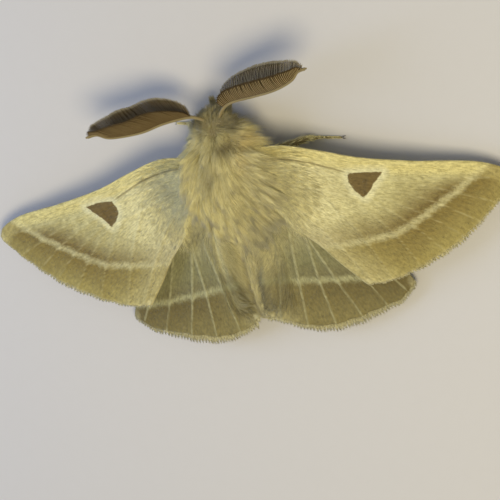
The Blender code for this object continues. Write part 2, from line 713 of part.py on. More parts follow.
def line_distance(p, curve):
    """How far p is from a line through points in plan."""
    best = math.inf
    for a, b in zip(curve, curve[1:]):
        along = max(0.0, min(1.0, (p - a).dot(b - a) / (b - a).length_squared))
        best = min(best, (a + (b - a) * along - p).length)
    return best


def depth_inside(p, outline):
    """How far p is inside a closed outline, negative outside it."""
    inside = False
    for a, b in zip(outline, outline[1:]):
        if (a.y > p.y) != (b.y > p.y) and p.x < a.x + (p.y - a.y) * (b.x - a.x) / (b.y - a.y):
            inside = not inside
    return line_distance(p, outline) * (1 if inside else -1)


def wing_points(outline, veins):
    """The membrane's points in plan and the edges that it has to keep.

    The points are those of the outline, of the veins and of the veins' flanks, then a grid.
    """
    def vein_distance(p):
        return min(line_distance(p, vein) for vein in veins)

    points = outline[:-1]
    edges = [(i, (i + 1) % len(points)) for i in range(len(points))]
    for vein in veins:
        edges += [(len(points) + i, len(points) + i + 1) for i in range(len(vein) - 1)]
        points = points + vein
    for vein in veins:
        for i, p in enumerate(vein):
            ahead = (vein[min(i + 1, len(vein) - 1)] - vein[max(i - 1, 0)]).normalized()
            flank = Vector((-ahead.y, ahead.x)) * VEIN_HALF_WIDTH
            for q in (p + flank, p - flank):
                if vein_distance(q) > VEIN_HALF_WIDTH * 0.8 and depth_inside(q, outline) > VEIN_HALF_WIDTH:
                    points.append(q)
    low = Vector((min(p.x for p in outline), min(p.y for p in outline)))
    high = Vector((max(p.x for p in outline), max(p.y for p in outline)))
    row_step = WING_GRID * math.sin(math.radians(60))
    for j in range(int((high.y - low.y) / row_step) + 1):
        for i in range(int((high.x - low.x) / WING_GRID) + 1):
            p = low + Vector(((i + 0.5 * (j % 2)) * WING_GRID, j * row_step))
            if depth_inside(p, outline) > WING_GRID * 0.45 and vein_distance(p) > WING_GRID * 0.5:
                points.append(p)
    return points, edges


def wing(name, side, outline, outer, vein_paths, height):
    """A membrane in plan, triangulated alike on both faces, with its veins raised on the upper one."""
    way = 1 if side == "right" else -1
    outline = outline + outline[:1]
    veins = [smooth_curve(path, VEIN_STEP) for path in vein_paths]
    points, edges = wing_points(outline, veins)
    flat, _, triangles, _, _, _ = delaunay_2d_cdt(points, edges, [], 1, 1e-4)
    inner = []
    for face in triangles:
        middle = sum((flat[i] for i in face), Vector((0, 0))) / 3
        if depth_inside(middle, outline) > 0:
            inner.append(tuple(face))
    # an edge that only one triangle has is on the rim
    rim = set()
    for a, b, c in inner:
        for edge in ((a, b), (b, c), (c, a)):
            if edge[::-1] in rim:
                rim.remove(edge[::-1])
            else:
                rim.add(edge)
    count = len(flat)
    verts = []
    for face_side in (1, -1):
        for p in flat:
            thick = FRINGE_THICK if line_distance(p, outer) < FRINGE_WIDTH else WING_THICK
            rise = 0.0
            if face_side > 0:
                vein = min(line_distance(p, vein) for vein in veins)
                rise = VEIN_HEIGHT * max(0.0, 1 - vein / (VEIN_HALF_WIDTH * 0.95))
            verts.append((way * p.x, p.y, height(way * p.x, p.y) + face_side * thick / 2 + rise))
    faces = list(inner) + [(c + count, b + count, a + count) for a, b, c in inner]
    faces += [(b, a, a + count, b + count) for a, b in sorted(rim)]
    obj = mesh_object(name, verts, faces)
    outward_faces(obj)
    keep_largest(obj)
    finish_node(obj, "wing")


def forewing(side):
    sweep = FORE_SWEEP[side]
    costa = smooth_curve(turned(FORE_COSTA, sweep) + turned(FORE_APEX, sweep), OUTLINE_STEP * 1.4)
    outer = smooth_curve(turned(FORE_APEX[-1:] + FORE_OUTER + FORE_TORNUS, sweep), OUTLINE_STEP)
    inner = smooth_curve(turned(FORE_TORNUS[-1:] + FORE_INNER, sweep), OUTLINE_STEP * 1.4)
    root = root_edge(fore_height, (FORE_ROOT_Y[1], FORE_ROOT_Y[0]), 4)
    outline = costa + scalloped(outer)[1:] + inner[1:] + root
    veins = [turned(path, sweep) for path in FORE_VEINS.values()]
    wing("forewing_" + side, side, outline, outer, veins, fore_height)


def inner_margin():
    """The hindwing's inner margin, GAP clear of the abdomen, from its root back to its corner."""
    made = []
    for i in range(9):
        y = -2.6 - 8.2 * i / 8
        made.append(Vector((abdomen_half_width(y) + GAP + SLACK * 2, y)))
    return made


def hindwing(side):
    sweep = HIND_SWEEP[side]
    costa = smooth_curve(turned(HIND_COSTA, sweep), OUTLINE_STEP * 1.4)
    outer = smooth_curve(turned(HIND_COSTA[-1:] + HIND_OUTER, sweep), OUTLINE_STEP)
    outer = [Vector((max(HIND_INNERMOST_X, p.x), p.y)) for p in scalloped(outer)]
    corner = [Vector((max(HIND_INNERMOST_X, x), y)) for x, y in turned(HIND_CORNER, sweep)]
    root = root_edge(hind_height, (HIND_ROOT_Y[1], HIND_ROOT_Y[0]), 3)
    outline = costa + outer[1:] + corner + inner_margin()[::-1] + root
    veins = [turned(path, sweep) for path in HIND_VEINS.values()]
    wing("hindwing_" + side, side, outline, outer, veins, hind_height)


def leg(name, root_y, joints):
    """One leg as one tube: root face on the thorax, coxa, knee, ankle, then the tarsus flat on the floor."""
    way = 1 if name.endswith("right") else -1
    angle = LEG_ROOT_ANGLE if way > 0 else 180 - LEG_ROOT_ANGLE
    on, out = ellipsoid_point(THORAX_MIDDLE, THORAX_RADII, root_y, angle, GAP + ROOT_SLACK)
    coxa, _ = ellipsoid_point(THORAX_MIDDLE, THORAX_RADII, root_y, angle, GAP + 0.6)
    points = [on, coxa] + [Vector(p) for p in joints]
    fine, radii = [], []
    for i, (a, b) in enumerate(zip(points, points[1:])):
        steps = 3 if i else 1
        for k in range(steps):
            t = k / steps
            fine.append(a.lerp(b, t))
            radii.append(LEG_RADII[i] + (LEG_RADII[i + 1] - LEG_RADII[i]) * t)
    fine.append(points[-1])
    radii.append(LEG_RADII[-1])
    # the joints are rounded off a little
    inner = [(before + here * 2 + after) / 4 for before, here, after in zip(fine, fine[1:], fine[2:])]
    fine = [fine[0]] + inner + [fine[-1]]
    verts, faces = tube(fine, radii, 6, floor=0.0)
    obj = mesh_object(name, verts, faces)
    outward_faces(obj)
    keep_largest(obj)
    finish_node(obj, "leg")


def main():
    clear_scene()
    thorax()
    head()
    eyes()
    palps()
    abdomen()
    for side in ("right", "left"):
        antenna(side)
        forewing(side)
        hindwing(side)
    for name, (root_y, joints) in LEGS.items():
        leg(name, root_y, joints)


main()
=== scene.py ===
import math

import bpy
import numpy as np
from mathutils import Matrix, Vector


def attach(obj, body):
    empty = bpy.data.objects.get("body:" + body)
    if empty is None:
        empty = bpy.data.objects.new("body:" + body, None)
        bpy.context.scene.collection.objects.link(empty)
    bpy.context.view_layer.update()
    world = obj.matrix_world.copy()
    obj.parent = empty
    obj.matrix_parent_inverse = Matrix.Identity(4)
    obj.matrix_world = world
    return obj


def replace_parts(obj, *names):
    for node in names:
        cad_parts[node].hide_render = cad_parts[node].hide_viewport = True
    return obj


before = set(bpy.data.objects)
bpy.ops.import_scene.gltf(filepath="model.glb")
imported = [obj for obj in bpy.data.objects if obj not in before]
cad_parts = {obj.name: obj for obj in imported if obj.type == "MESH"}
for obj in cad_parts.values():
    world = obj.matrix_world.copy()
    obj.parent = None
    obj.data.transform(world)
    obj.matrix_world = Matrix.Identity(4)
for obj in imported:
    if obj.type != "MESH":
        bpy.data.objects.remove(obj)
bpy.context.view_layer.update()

# All sizes below are millimetres from the middle of the wing hinges, and inFrame() takes them to the
# frame's metres
place = {"shift": (-0.069, 0.98, 0.0), "metresPerMm": 0.001}


def inFrame(points):
    return (np.asarray(points, float) + place["shift"]) * place["metresPerMm"]


def outOfFrame(mesh):
    # where the mesh's points lie, in the millimetres of this script
    return np.array([v.co for v in mesh.vertices]) / place["metresPerMm"] - place["shift"]


def columns(*parts):
    return np.column_stack(parts)


def unit(vectors):
    return vectors / (np.linalg.norm(vectors, axis=-1)[..., None] + 1e-9)


def pick(*things):
    for other in bpy.context.selected_objects:
        other.select_set(False)
    for thing in things:
        thing.select_set(True)
    bpy.context.view_layer.objects.active = things[0]


def joinParts(name, parts):
    pick(*parts)
    bpy.ops.object.join()
    piece = bpy.context.object
    piece.name = name
    return piece


def applyModifier(thing, kind, name, **settings):
    pick(thing)
    modifier = thing.modifiers.new(name, kind)
    for key, value in settings.items():
        setattr(modifier, key, value)
    bpy.ops.object.modifier_apply(modifier=modifier.name)


def linear(hexColour):
    # sRGB hex to the linear values that shaders take
    parts = [int(hexColour[i:i + 2], 16) / 255 for i in (1, 3, 5)]
    return [p / 12.92 if p <= 0.04045 else ((p + 0.055) / 1.055) ** 2.4 for p in parts] + [1.0]


def addNode(tree, kind, settings=(), links=()):
    node = tree.nodes.new(kind)
    for key, value in dict(settings).items():
        if isinstance(key, int) or key in node.inputs:
            node.inputs[key].default_value = value
        else:
            setattr(node, key, value)
    for key, source in dict(links).items():
        tree.links.new(source, node.inputs[key])
    return node


def wear(piece, material):
    piece.data.materials.clear()
    piece.data.materials.append(material)


def dropUnwrap(piece):
    while piece.data.uv_layers:
        piece.data.uv_layers.remove(piece.data.uv_layers[0])


# Curves and fields in plan


def smoothCurve(points, count):
    # a Catmull-Rom curve through the points, resampled evenly
    pts = np.asarray(points, float)
    ends = np.vstack([2 * pts[0] - pts[1], pts, 2 * pts[-1] - pts[-2]])
    fine = []
    for a, b, c, d in zip(ends, ends[1:], ends[2:], ends[3:]):
        for t in np.linspace(0, 1, 24, endpoint=False):
            fine.append(0.5 * (2 * b + (c - a) * t + (2 * a - 5 * b + 4 * c - d) * t * t
                               + (3 * b - a - 3 * c + d) * t ** 3))
    fine = np.vstack([fine, pts[-1]])
    run = np.concatenate([[0], np.cumsum(np.linalg.norm(np.diff(fine, axis=0), axis=1))])
    at = np.linspace(0, run[-1], count)
    return np.column_stack([np.interp(at, run, fine[:, k]) for k in range(fine.shape[1])])


def curveDistance(points, curve):
    # how far each point is from a curve in plan, on which side of it (1 on the left of its run), and how
    # far along it
    best = np.full(len(points), 1e9)
    side, share = np.ones(len(points)), np.zeros(len(points))
    for i, (a, b) in enumerate(zip(curve, curve[1:])):
        run = b - a
        along = np.clip((points - a) @ run / (run @ run), 0, 1)
        off = points - (a + along[:, None] * run)
        dist = np.hypot(off[:, 0], off[:, 1])
        turn = run[0] * (points[:, 1] - a[1]) - run[1] * (points[:, 0] - a[0])
        nearer = dist < best
        best = np.where(nearer, dist, best)
        side = np.where(nearer, np.sign(turn), side)
        share = np.where(nearer, (i + along) / (len(curve) - 1), share)
    return best, side, share


def insideOutline(points, outline):
    inside = np.zeros(len(points), bool)
    for a, b in zip(outline, np.roll(outline, -1, axis=0)):
        crosses = (a[1] > points[:, 1]) != (b[1] > points[:, 1])
        level = a[0] + (points[:, 1] - a[1]) * (b[0] - a[0]) / (b[1] - a[1] + 1e-12)
        inside ^= crosses & (points[:, 0] < level)
    return inside


def smoothStep(low, high, value):
    t = np.clip((value - low) / (high - low), 0, 1)
    return t * t * (3 - 2 * t)


# The wings


hinge = np.array((2.3, 1.8))
hingeFront = 3.6
wingRoot = np.array((2.3, 1.2))

forewing = {
    "costa": [(2.0, 3.9), (5.5, 4.15), (9.0, 3.25), (12.5, 2.12), (17.0, 1.2), (21.6, 0.45), (23.9, -0.45),
              (24.6, -1.3)],
    "outer": [(24.6, -1.3), (24.55, -2.3), (23.0, -3.85), (21.3, -5.25), (19.4, -6.6), (17.2, -7.75),
              (15.0, -8.7), (12.8, -9.35), (11.5, -9.45), (10.5, -9.05)],
    "inner": [(2.0, 0.4), (4.2, -1.2), (5.4, -3.3), (7.1, -5.0), (8.7, -7.0), (10.5, -9.05)],
    "root": [(2.0, 3.9), (2.0, 2.2), (2.0, 0.4)],
    "veins": [
        [(2.95, 3.15), (6.0, 3.1), (9.5, 2.25), (12.5, 1.45), (15.4, 1.15), (17.6, 1.0)],
        [(3.05, 2.2), (6.5, 1.85), (10.5, 0.95), (14.6, 0.0), (19.0, -0.6), (22.8, -1.1)],
        [(14.6, 0.0), (18.4, -1.4), (22.9, -3.3)],
        [(12.9, 0.42), (12.6, -0.5), (12.4, -1.4)],
        [(12.7, -0.1), (17.6, -2.4), (21.5, -4.9)],
        [(12.5, -0.8), (16.9, -3.6), (19.9, -6.0)],
        [(3.15, 1.5), (6.5, 0.5), (9.6, -0.5), (12.4, -1.4), (15.4, -4.1), (18.0, -7.1)],
        [(10.8, -0.9), (13.8, -4.7), (15.6, -8.1)],
        [(8.6, -0.2), (11.2, -4.8), (12.9, -8.9)],
        [(3.4, 0.9), (6.2, -1.7), (8.7, -4.9), (11.1, -8.7)],
    ],
    "paleLine": [(24.2, 0.9), (22.6, 0.0), (21.4, -0.78), (20.2, -1.64), (17.8, -3.0), (16.1, -3.9),
                 (14.7, -4.6), (13.5, -4.9), (11.6, -5.13), (9.0, -5.3), (6.0, -5.2)],
    "spot": {
        "right": [(14.15, 0.68), (12.6, 0.86), (11.15, 0.94), (11.05, 0.2), (11.4, -0.7), (12.1, -1.33),
                  (12.55, -0.95), (13.1, -0.3)],
        "left": [(14.25, 0.7), (12.67, 0.98), (11.3, 0.95), (11.05, 0.4), (11.05, -0.25), (11.56, -0.95),
                 (12.2, -1.4), (12.55, -0.78), (13.3, -0.1)],
    },
    "fold": [(3.4, 3.2), (5.1, 3.1), (7.6, 2.5), (10.0, 1.5), (11.2, 0.95)],
    "sweep": {"right": 0.0, "left": 1.9},
    "height": {"hinge": 4.2, "slope": 0.055, "curve": 0.0027, "back": 0.07},
    "cells": (136, 76),
    "fringe": 0.42,
    "scallops": 8,
}

hindwing = {
    "costa": [(2.0, 1.0), (4.6, 0.6), (8.0, -2.6), (11.5, -6.4), (13.5, -8.7), (14.05, -9.6)],
    "outer": [(14.05, -9.6), (14.1, -10.5), (12.9, -11.65), (11.0, -12.25), (8.6, -12.95), (6.0, -13.4),
              (3.8, -13.2), (2.0, -12.6), (0.9, -12.05), (0.4, -11.5)],
    "inner": [(2.0, -1.2), (2.3, -3.5), (2.3, -5.5), (2.0, -7.3), (1.5, -8.9), (0.95, -10.2), (0.4, -11.5)],
    "root": [(2.0, 1.0), (2.0, -0.1), (2.0, -1.2)],
    "veins": [
        [(3.6, 0.2), (7.2, -3.3), (10.6, -7.0), (13.2, -10.3)],
        [(7.2, -3.3), (9.3, -7.7), (11.3, -11.6)],
        [(5.6, -3.9), (7.2, -8.2), (8.9, -12.3)],
        [(3.3, -0.7), (4.9, -2.6), (5.6, -3.9), (5.9, -8.5), (6.4, -12.7)],
        [(4.4, -3.3), (4.1, -8.0), (3.9, -12.6)],
        [(3.0, -1.5), (2.9, -5.0), (2.3, -9.0), (1.6, -11.9)],
    ],
    "paleLine": [(15.0, -8.6), (12.0, -8.9), (10.0, -8.85), (7.9, -8.7), (6.8, -8.62), (5.0, -8.5),
                 (3.5, -8.3), (2.3, -8.05), (0.5, -7.6)],
    "fold": [(3.4, 0.4), (6.9, -3.0), (8.5, -5.0)],
    "sweep": {"right": 0.0, "left": 5.0},
    "height": {"hinge": 3.36, "slope": 0.075, "curve": 0.002, "back": 0.095},
    "cells": (104, 80),
    "fringe": 0.55,
    "scallops": 8,
}

membrane = {"thick": 0.22, "veinRise": 0.09, "veinWidth": 0.11, "clearOfVein": 0.12, "flute": 0.07,
            "fluteWidth": 0.8, "scallop": 0.1, "edgePoints": 160, "pastMargin": 12}
# how the hindwing's inner margin runs beside the abdomen, and from where to where it leaves it
besideBody = {"gap": 0.32, "from": -2.6, "leaves": (-9.0, -10.5), "least": 0.4}
# millimetres along and across the lie of the scales, which the fine streaks follow
lie = {"along": 22.0, "across": 13.0}


def wingHeight(spec, x, y):
    # a wing falls away outwards in a curve, and backwards from the front of its hinge
    out, fall = np.abs(x) - hinge[0], spec["height"]
    return fall["hinge"] - fall["slope"] * out - fall["curve"] * out ** 2 - fall["back"] * (hingeFront - y)


def rootDistance(flat):
    return np.hypot(flat[:, 0] - wingRoot[0], flat[:, 1] - wingRoot[1])


def sweptBack(points, degrees):
    turn = math.radians(degrees)
    off = np.asarray(points, float) - hinge
    return hinge + columns(off[:, 0] * math.cos(turn) + off[:, 1] * math.sin(turn),
                           off[:, 1] * math.cos(turn) - off[:, 0] * math.sin(turn))


class Wing:
    # one wing's outline, veins and markings in plan, and a patch whose u runs from root to fringe and v
    # from front to back

    def __init__(self, kind, spec, side):
        self.name, self.kind, self.spec, self.side = "%s_%s" % (kind, side), kind, spec, side
        self.way = 1 if side == "right" else -1
        turn, points = spec["sweep"][side], membrane["edgePoints"]
        edges = ("costa", "outer", "inner", "root")
        curve = {key: smoothCurve(sweptBack(spec[key], turn), points) for key in edges}
        if kind == "hindwing":
            curve["inner"] = self.besideAbdomen(curve["inner"])
            curve["outer"][:, 0] = np.maximum(curve["outer"][:, 0], besideBody["least"])
            curve["outer"][-1] = curve["inner"][-1]
        # the membrane ends in shallow bays inside the fringe's rim
        run = np.gradient(curve["outer"], axis=0)
        inward = columns(run[:, 1], -run[:, 0]) / np.linalg.norm(run, axis=1)[:, None]
        t = np.linspace(0, 1, points)
        ends = smoothStep(0, 0.06, t) * smoothStep(0, 0.05, 1 - t)
        bay = membrane["scallop"] * (1 - np.abs(np.sin(math.pi * spec["scallops"] * t)))
        curve["rim"] = curve["outer"].copy()
        curve["outer"] = curve["outer"] + inward * ((spec["fringe"] + bay) * ends)[:, None]
        self.curve = curve
        self.veins = [smoothCurve(sweptBack(v, turn), 26) for v in spec["veins"]]
        self.paleLine = smoothCurve(sweptBack(spec["paleLine"], turn), 60)
        self.fold = smoothCurve(sweptBack(spec["fold"], turn), 20)
        self.spot = sweptBack(spec["spot"][side], turn) if "spot" in spec else None
        # the sign that makes distances from the pale line grow towards the fringe
        middle = curve["rim"][points // 2:points // 2 + 1]
        self.outward = curveDistance(middle, self.paleLine)[1][0]

    def besideAbdomen(self, inner):
        # the inner margin runs beside the abdomen, and keeps its own way past the abdomen's tip
        y = inner[:, 1]
        beside = abdomenHalfWidth(y) + besideBody["gap"]
        past = smoothStep(*besideBody["leaves"], y)
        x = np.where(y < besideBody["from"], beside * (1 - past) + inner[:, 0] * past, inner[:, 0])
        return columns(x, y)

    def at(self, u, v):
        # plan position of each u, v by blending the four edges, and on over the fringe where u is past 1
        def on(curve, t):
            steps = np.clip(t, 0, 1) * (len(curve) - 1)
            return np.column_stack([np.interp(steps, np.arange(len(curve)), curve[:, k]) for k in (0, 1)])
        c, u2, v2 = self.curve, u[:, None], v[:, None]
        over = np.maximum(u2 - 1, 0)
        u1 = np.clip(u2, 0, 1)
        rails = (1 - v2) * on(c["costa"], u) + v2 * on(c["inner"], u)
        ribs = (1 - u1) * on(c["root"], v) + u1 * on(c["outer"], v)
        corners = ((1 - u1) * (1 - v2) * c["costa"][0] + u1 * (1 - v2) * c["costa"][-1]
                   + (1 - u1) * v2 * c["inner"][0] + u1 * v2 * c["inner"][-1])
        flat = rails + ribs - corners
        return flat + over * membrane["pastMargin"] * (on(c["rim"], v) - on(c["outer"], v))

    def fields(self, flat):
        # distances in millimetres that the markings and the relief are drawn from
        line, side, run = curveDistance(flat, self.paleLine)
        made = {"veinDist": self.veinDistance(flat), "lineDist": line * side * self.outward, "lineRun": run,
                "costaDist": curveDistance(flat, self.curve["costa"])[0],
                "foldDist": curveDistance(flat, self.fold)[0],
                "marginDist": curveDistance(flat, self.curve["rim"])[0],
                "rootDist": rootDistance(flat)}
        if self.spot is None:
            # nothing of it is near
            made["spotDist"] = np.full(len(flat), 9.0)
        else:
            closed = np.vstack([self.spot, self.spot[:1]])
            inside = np.where(insideOutline(flat, self.spot), -1, 1)
            made["spotDist"] = inside * curveDistance(flat, closed)[0]
        return made

    def marksAt(self, u, v):
        made = self.fields(self.at(u, v))
        made["lieAlong"], made["lieAcross"] = u * lie["along"], v * lie["across"]
        return made

    def veinDistance(self, flat):
        return np.min([curveDistance(flat, v)[0] for v in self.veins], axis=0)

    def middle(self, flat, vein):
        # the height of the middle of the membrane, which sags a little between its veins
        ridge = membrane["veinRise"] * np.exp(-(vein / membrane["veinWidth"]) ** 2)
        sag = membrane["flute"] * (1 - np.exp(-(vein / membrane["fluteWidth"]) ** 2))
        return wingHeight(self.spec, flat[:, 0], flat[:, 1]) + ridge - sag

    def inSpace(self, flat, z):
        return columns(flat[:, 0] * self.way, flat[:, 1], z)


def setAttribute(mesh, name, values):
    layer = mesh.attributes.new(name, "FLOAT", "POINT")
    layer.data.foreach_set("value", np.ascontiguousarray(values, dtype=np.float32))


def wingMembrane(wing, material):
    across, down = wing.spec["cells"]
    bpy.ops.mesh.primitive_grid_add(x_subdivisions=across, y_subdivisions=down, size=2)
    piece = bpy.context.object
    piece.name = wing.name + "_membrane"
    mesh = piece.data
    grid = np.array([v.co for v in mesh.vertices])
    u, v = (grid[:, 0] + 1) / 2, (1 - grid[:, 1]) / 2
    flat, fields = wing.at(u, v), wing.marksAt(u, v)
    z = wing.middle(flat, fields["veinDist"])
    mesh.vertices.foreach_set("co", inFrame(wing.inSpace(flat, z)).ravel())
    fields["shade"] = np.zeros(len(u))
    for key, value in fields.items():
        setAttribute(mesh, key, value)
    dropUnwrap(piece)
    bpy.ops.object.mode_set(mode="EDIT")
    bpy.ops.mesh.select_all(action="SELECT")
    bpy.ops.mesh.normals_make_consistent(inside=False)
    bpy.ops.object.mode_set(mode="OBJECT")
    thick = membrane["thick"] * place["metresPerMm"]
    applyModifier(piece, "SOLIDIFY", "scales", thickness=thick, offset=0.0)
    bpy.ops.object.shade_smooth()
    wear(piece, material)
    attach(piece, "root")
    return piece


# Tufts: closed tapered blades, joined into one mesh for each stretch of coat


def tuftCorners(paths, outs, widths, flat, taper):
    # three corners round each station of a tuft, and one at its tip
    count, rings = len(paths), paths.shape[1] - 1
    ahead = unit(np.gradient(paths, axis=1))
    across = unit(np.cross(ahead, outs[:, None, :]))
    upward = np.cross(across, ahead)
    share = np.linspace(0, 1, rings + 1)[:rings]
    girth = (1 - share ** 1.6 * (1 - taper)) * np.where(share == 0, 0.8, 1.0)
    half = widths[:, None] / 2 * girth
    corners = []
    for turn in np.radians((90, 210, 330)):
        corners.append(paths[:, :rings] + across[:, :rings] * (half * math.cos(turn))[..., None]
                       + upward[:, :rings] * (half * flat * math.sin(turn))[..., None])
    ring = np.stack(corners, axis=2).reshape(count, rings * 3, 3)
    return np.concatenate([ring, paths[:, -1:]], axis=1)


def tuftFaces(count, rings):
    # one triangle closes the root, pairs of them join the rings and three run up to the tip
    shape = [(0, 1, 2)]
    for start in range(0, (rings - 1) * 3, 3):
        for k in range(3):
            a, b = start + k, start + (k + 1) % 3
            shape += [(a, b + 3, b), (a, a + 3, b + 3)]
    last = (rings - 1) * 3
    shape += [(last + k, last + 3, last + (k + 1) % 3) for k in range(3)]
    firsts = np.arange(count) * (rings * 3 + 1)
    return (np.array(shape) + firsts[:, None, None]).reshape(-1, 3)


def atCorners(mark, rings):
    # a mark is one number for each tuft, or one for each of its stations
    if mark.ndim == 1:
        return np.repeat(mark, rings * 3 + 1)
    return np.concatenate([np.repeat(mark[:, :rings], 3, axis=1), mark[:, -1:]], axis=1).ravel()


def growTufts(name, paths, outs, widths, flat, marks, patch, material, taper=0.35):
    # paths is tufts x stations x 3 and outs is the way up from the skin at each tuft
    count, rings = len(paths), paths.shape[1] - 1
    corners = tuftCorners(paths, outs, widths, flat, taper).reshape(-1, 3)
    faces = tuftFaces(count, rings)
    mesh = bpy.data.meshes.new(name)
    mesh.vertices.add(len(corners))
    mesh.vertices.foreach_set("co", inFrame(corners).ravel())
    mesh.loops.add(faces.size)
    mesh.loops.foreach_set("vertex_index", faces.ravel().astype(np.int32))
    mesh.polygons.add(len(faces))
    mesh.polygons.foreach_set("loop_start", np.arange(0, faces.size, 3, dtype=np.int32))
    mesh.update(calc_edges=True)
    along = atCorners(np.tile(np.linspace(0, 1, rings + 1), (count, 1)), rings)
    setAttribute(mesh, "along", along)
    for key, mark in marks.items():
        setAttribute(mesh, key, atCorners(mark, rings))
    # each tuft's patch on the unwrap is 0.003 across and lies at its root's place
    step = 0.003
    spread = np.tile(np.append(np.tile([0.0, 0.5, 1.0], rings), 0.5), count)
    uv = np.repeat(patch * (1 - step), rings * 3 + 1, axis=0) + columns(spread, along) * step
    layer = mesh.uv_layers.new(name="OFBake")
    layer.data.foreach_set("uv", uv[faces.ravel()].astype(np.float32).ravel())
    mesh.shade_smooth()
    mesh.materials.append(material)
    piece = bpy.data.objects.new(name, mesh)
    bpy.context.scene.collection.objects.link(piece)
    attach(piece, "root")
    print(name, count, "tufts,", len(faces), "triangles")


wingHair = {
    "forewing": {"scales": 11000, "base": 6200, "baseReach": 8.5, "rear": 2400, "fringe": 2600,
                 "pastRim": 0.16},
    "hindwing": {"scales": 7500, "base": 3800, "baseReach": 8.0, "fringe": 2900, "pastRim": 0.28},
    "margin": {"left": {"hairs": 4200, "lean": 0.62, "longest": 3.6},
               "right": {"hairs": 3200, "lean": 0.32, "longest": 3.0}},
    "clumps": 52,
}
wingTufts = {
    "scales": {"width": (0.035, 0.06), "flat": 0.3, "taper": 0.8},
    "baseHair": {"width": (0.03, 0.05), "flat": 0.5, "taper": 0.4},
    "rearHair": {"width": (0.03, 0.05), "flat": 0.6, "taper": 0.4},
    "marginHair": {"width": (0.03, 0.05), "flat": 0.6, "taper": 0.4},
    "fringe": {"width": (0.045, 0.075), "flat": 0.45, "taper": 0.55},
}


def growOnWing(wing, kind, paths, marks, u, v, material, draw):
    spec, n = wingTufts[kind], len(u)
    up = np.tile((0.0, 0.0, 1.0), (n, 1))
    growTufts("%s_%s" % (wing.name, kind), paths, up, draw.uniform(*spec["width"], n), spec["flat"], marks,
              columns(u, v), material, spec["taper"])


def wingPaths(wing, u, v, length, lift, sway, stations, start=0.0):
    # hairs that lie along the wing from root to fringe, standing off it by lift at their tips
    here = wing.at(u, v)
    way = unit(wing.at(u + 0.01, v) - here)
    turned = columns(way[:, 0] * np.cos(sway) - way[:, 1] * np.sin(sway),
                     way[:, 0] * np.sin(sway) + way[:, 1] * np.cos(sway))
    made = []
    for s in np.linspace(0, 1, stations):
        flat = here + (way * (1 - s) + turned * s) * (length * s)[:, None]
        top = wing.middle(flat, wing.veinDistance(flat)) + membrane["thick"] / 2
        made.append(wing.inSpace(flat, top - 0.02 + lift * s ** 0.7 + start))
    return np.stack(made, axis=1)


def stationMarks(wing, paths, u, v, length):
    # marks for long hair: each of its stations takes the wing's own markings at its place
    made = {}
    for k, s in enumerate(np.linspace(0, 1, paths.shape[1])):
        here = wing.fields(paths[:, k, :2] * (wing.way, 1))
        here["lieAlong"], here["lieAcross"] = u * lie["along"] + length * s, v * lie["across"]
        for key, value in here.items():
            made.setdefault(key, []).append(value)
    return {key: np.column_stack(values) for key, values in made.items()}


def wingScales(wing, material, draw):
    # short scales all over, which stand a little off the membrane and leave its veins bare
    n = wingHair[wing.kind]["scales"]
    u, v = draw.uniform(0.04, 0.985, n) ** 0.8, draw.uniform(0.01, 0.99, n)
    clear = wing.veinDistance(wing.at(u, v)) > membrane["clearOfVein"]
    u, v = u[clear], v[clear]
    n = len(u)
    marks = wing.marksAt(u, v)
    marks["shade"] = draw.uniform(-1.6, 1.6, n)
    length, lift = draw.uniform(0.3, 0.55, n), draw.uniform(0.02, 0.05, n)
    paths = wingPaths(wing, u, v, length, lift, draw.normal(0, 0.2, n), 2)
    growOnWing(wing, "scales", paths, marks, u, v, material, draw)


def baseHair(wing, material, draw):
    # long hair over the inner part, thickest at the root and along the inner margin
    n = wingHair[wing.kind]["base"]
    u, v = draw.beta(1.0, 2.4, n) * 0.75, draw.beta(1.3, 1.0, n)
    far = rootDistance(wing.at(u, v)) / wingHair[wing.kind]["baseReach"]
    keep = draw.uniform(0, 1, n) > far - 0.35
    u, v, far = u[keep], v[keep], far[keep]
    n = len(u)
    length = 2.0 * (1.15 - 0.75 * np.clip(far, 0, 1)) * draw.uniform(0.5, 1.1, n)
    lift = (0.04 + 0.3 * np.clip(1 - far * 1.4, 0, 1)) * draw.uniform(0.3, 1.1, n)
    paths = wingPaths(wing, u, v, length, lift, draw.normal(0, 0.1, n), 3)
    marks = stationMarks(wing, paths, u, v, length)
    # painted light: on the right hindwing it lies in shade, and its colour is painted paler there to offset
    # that shade
    paintedLift = 1.6 if wing.name == "hindwing_right" else 0.0
    marks["shade"] = draw.uniform(0.0, 2.0, n) + paintedLift
    growOnWing(wing, "baseHair", paths, marks, u, v, material, draw)


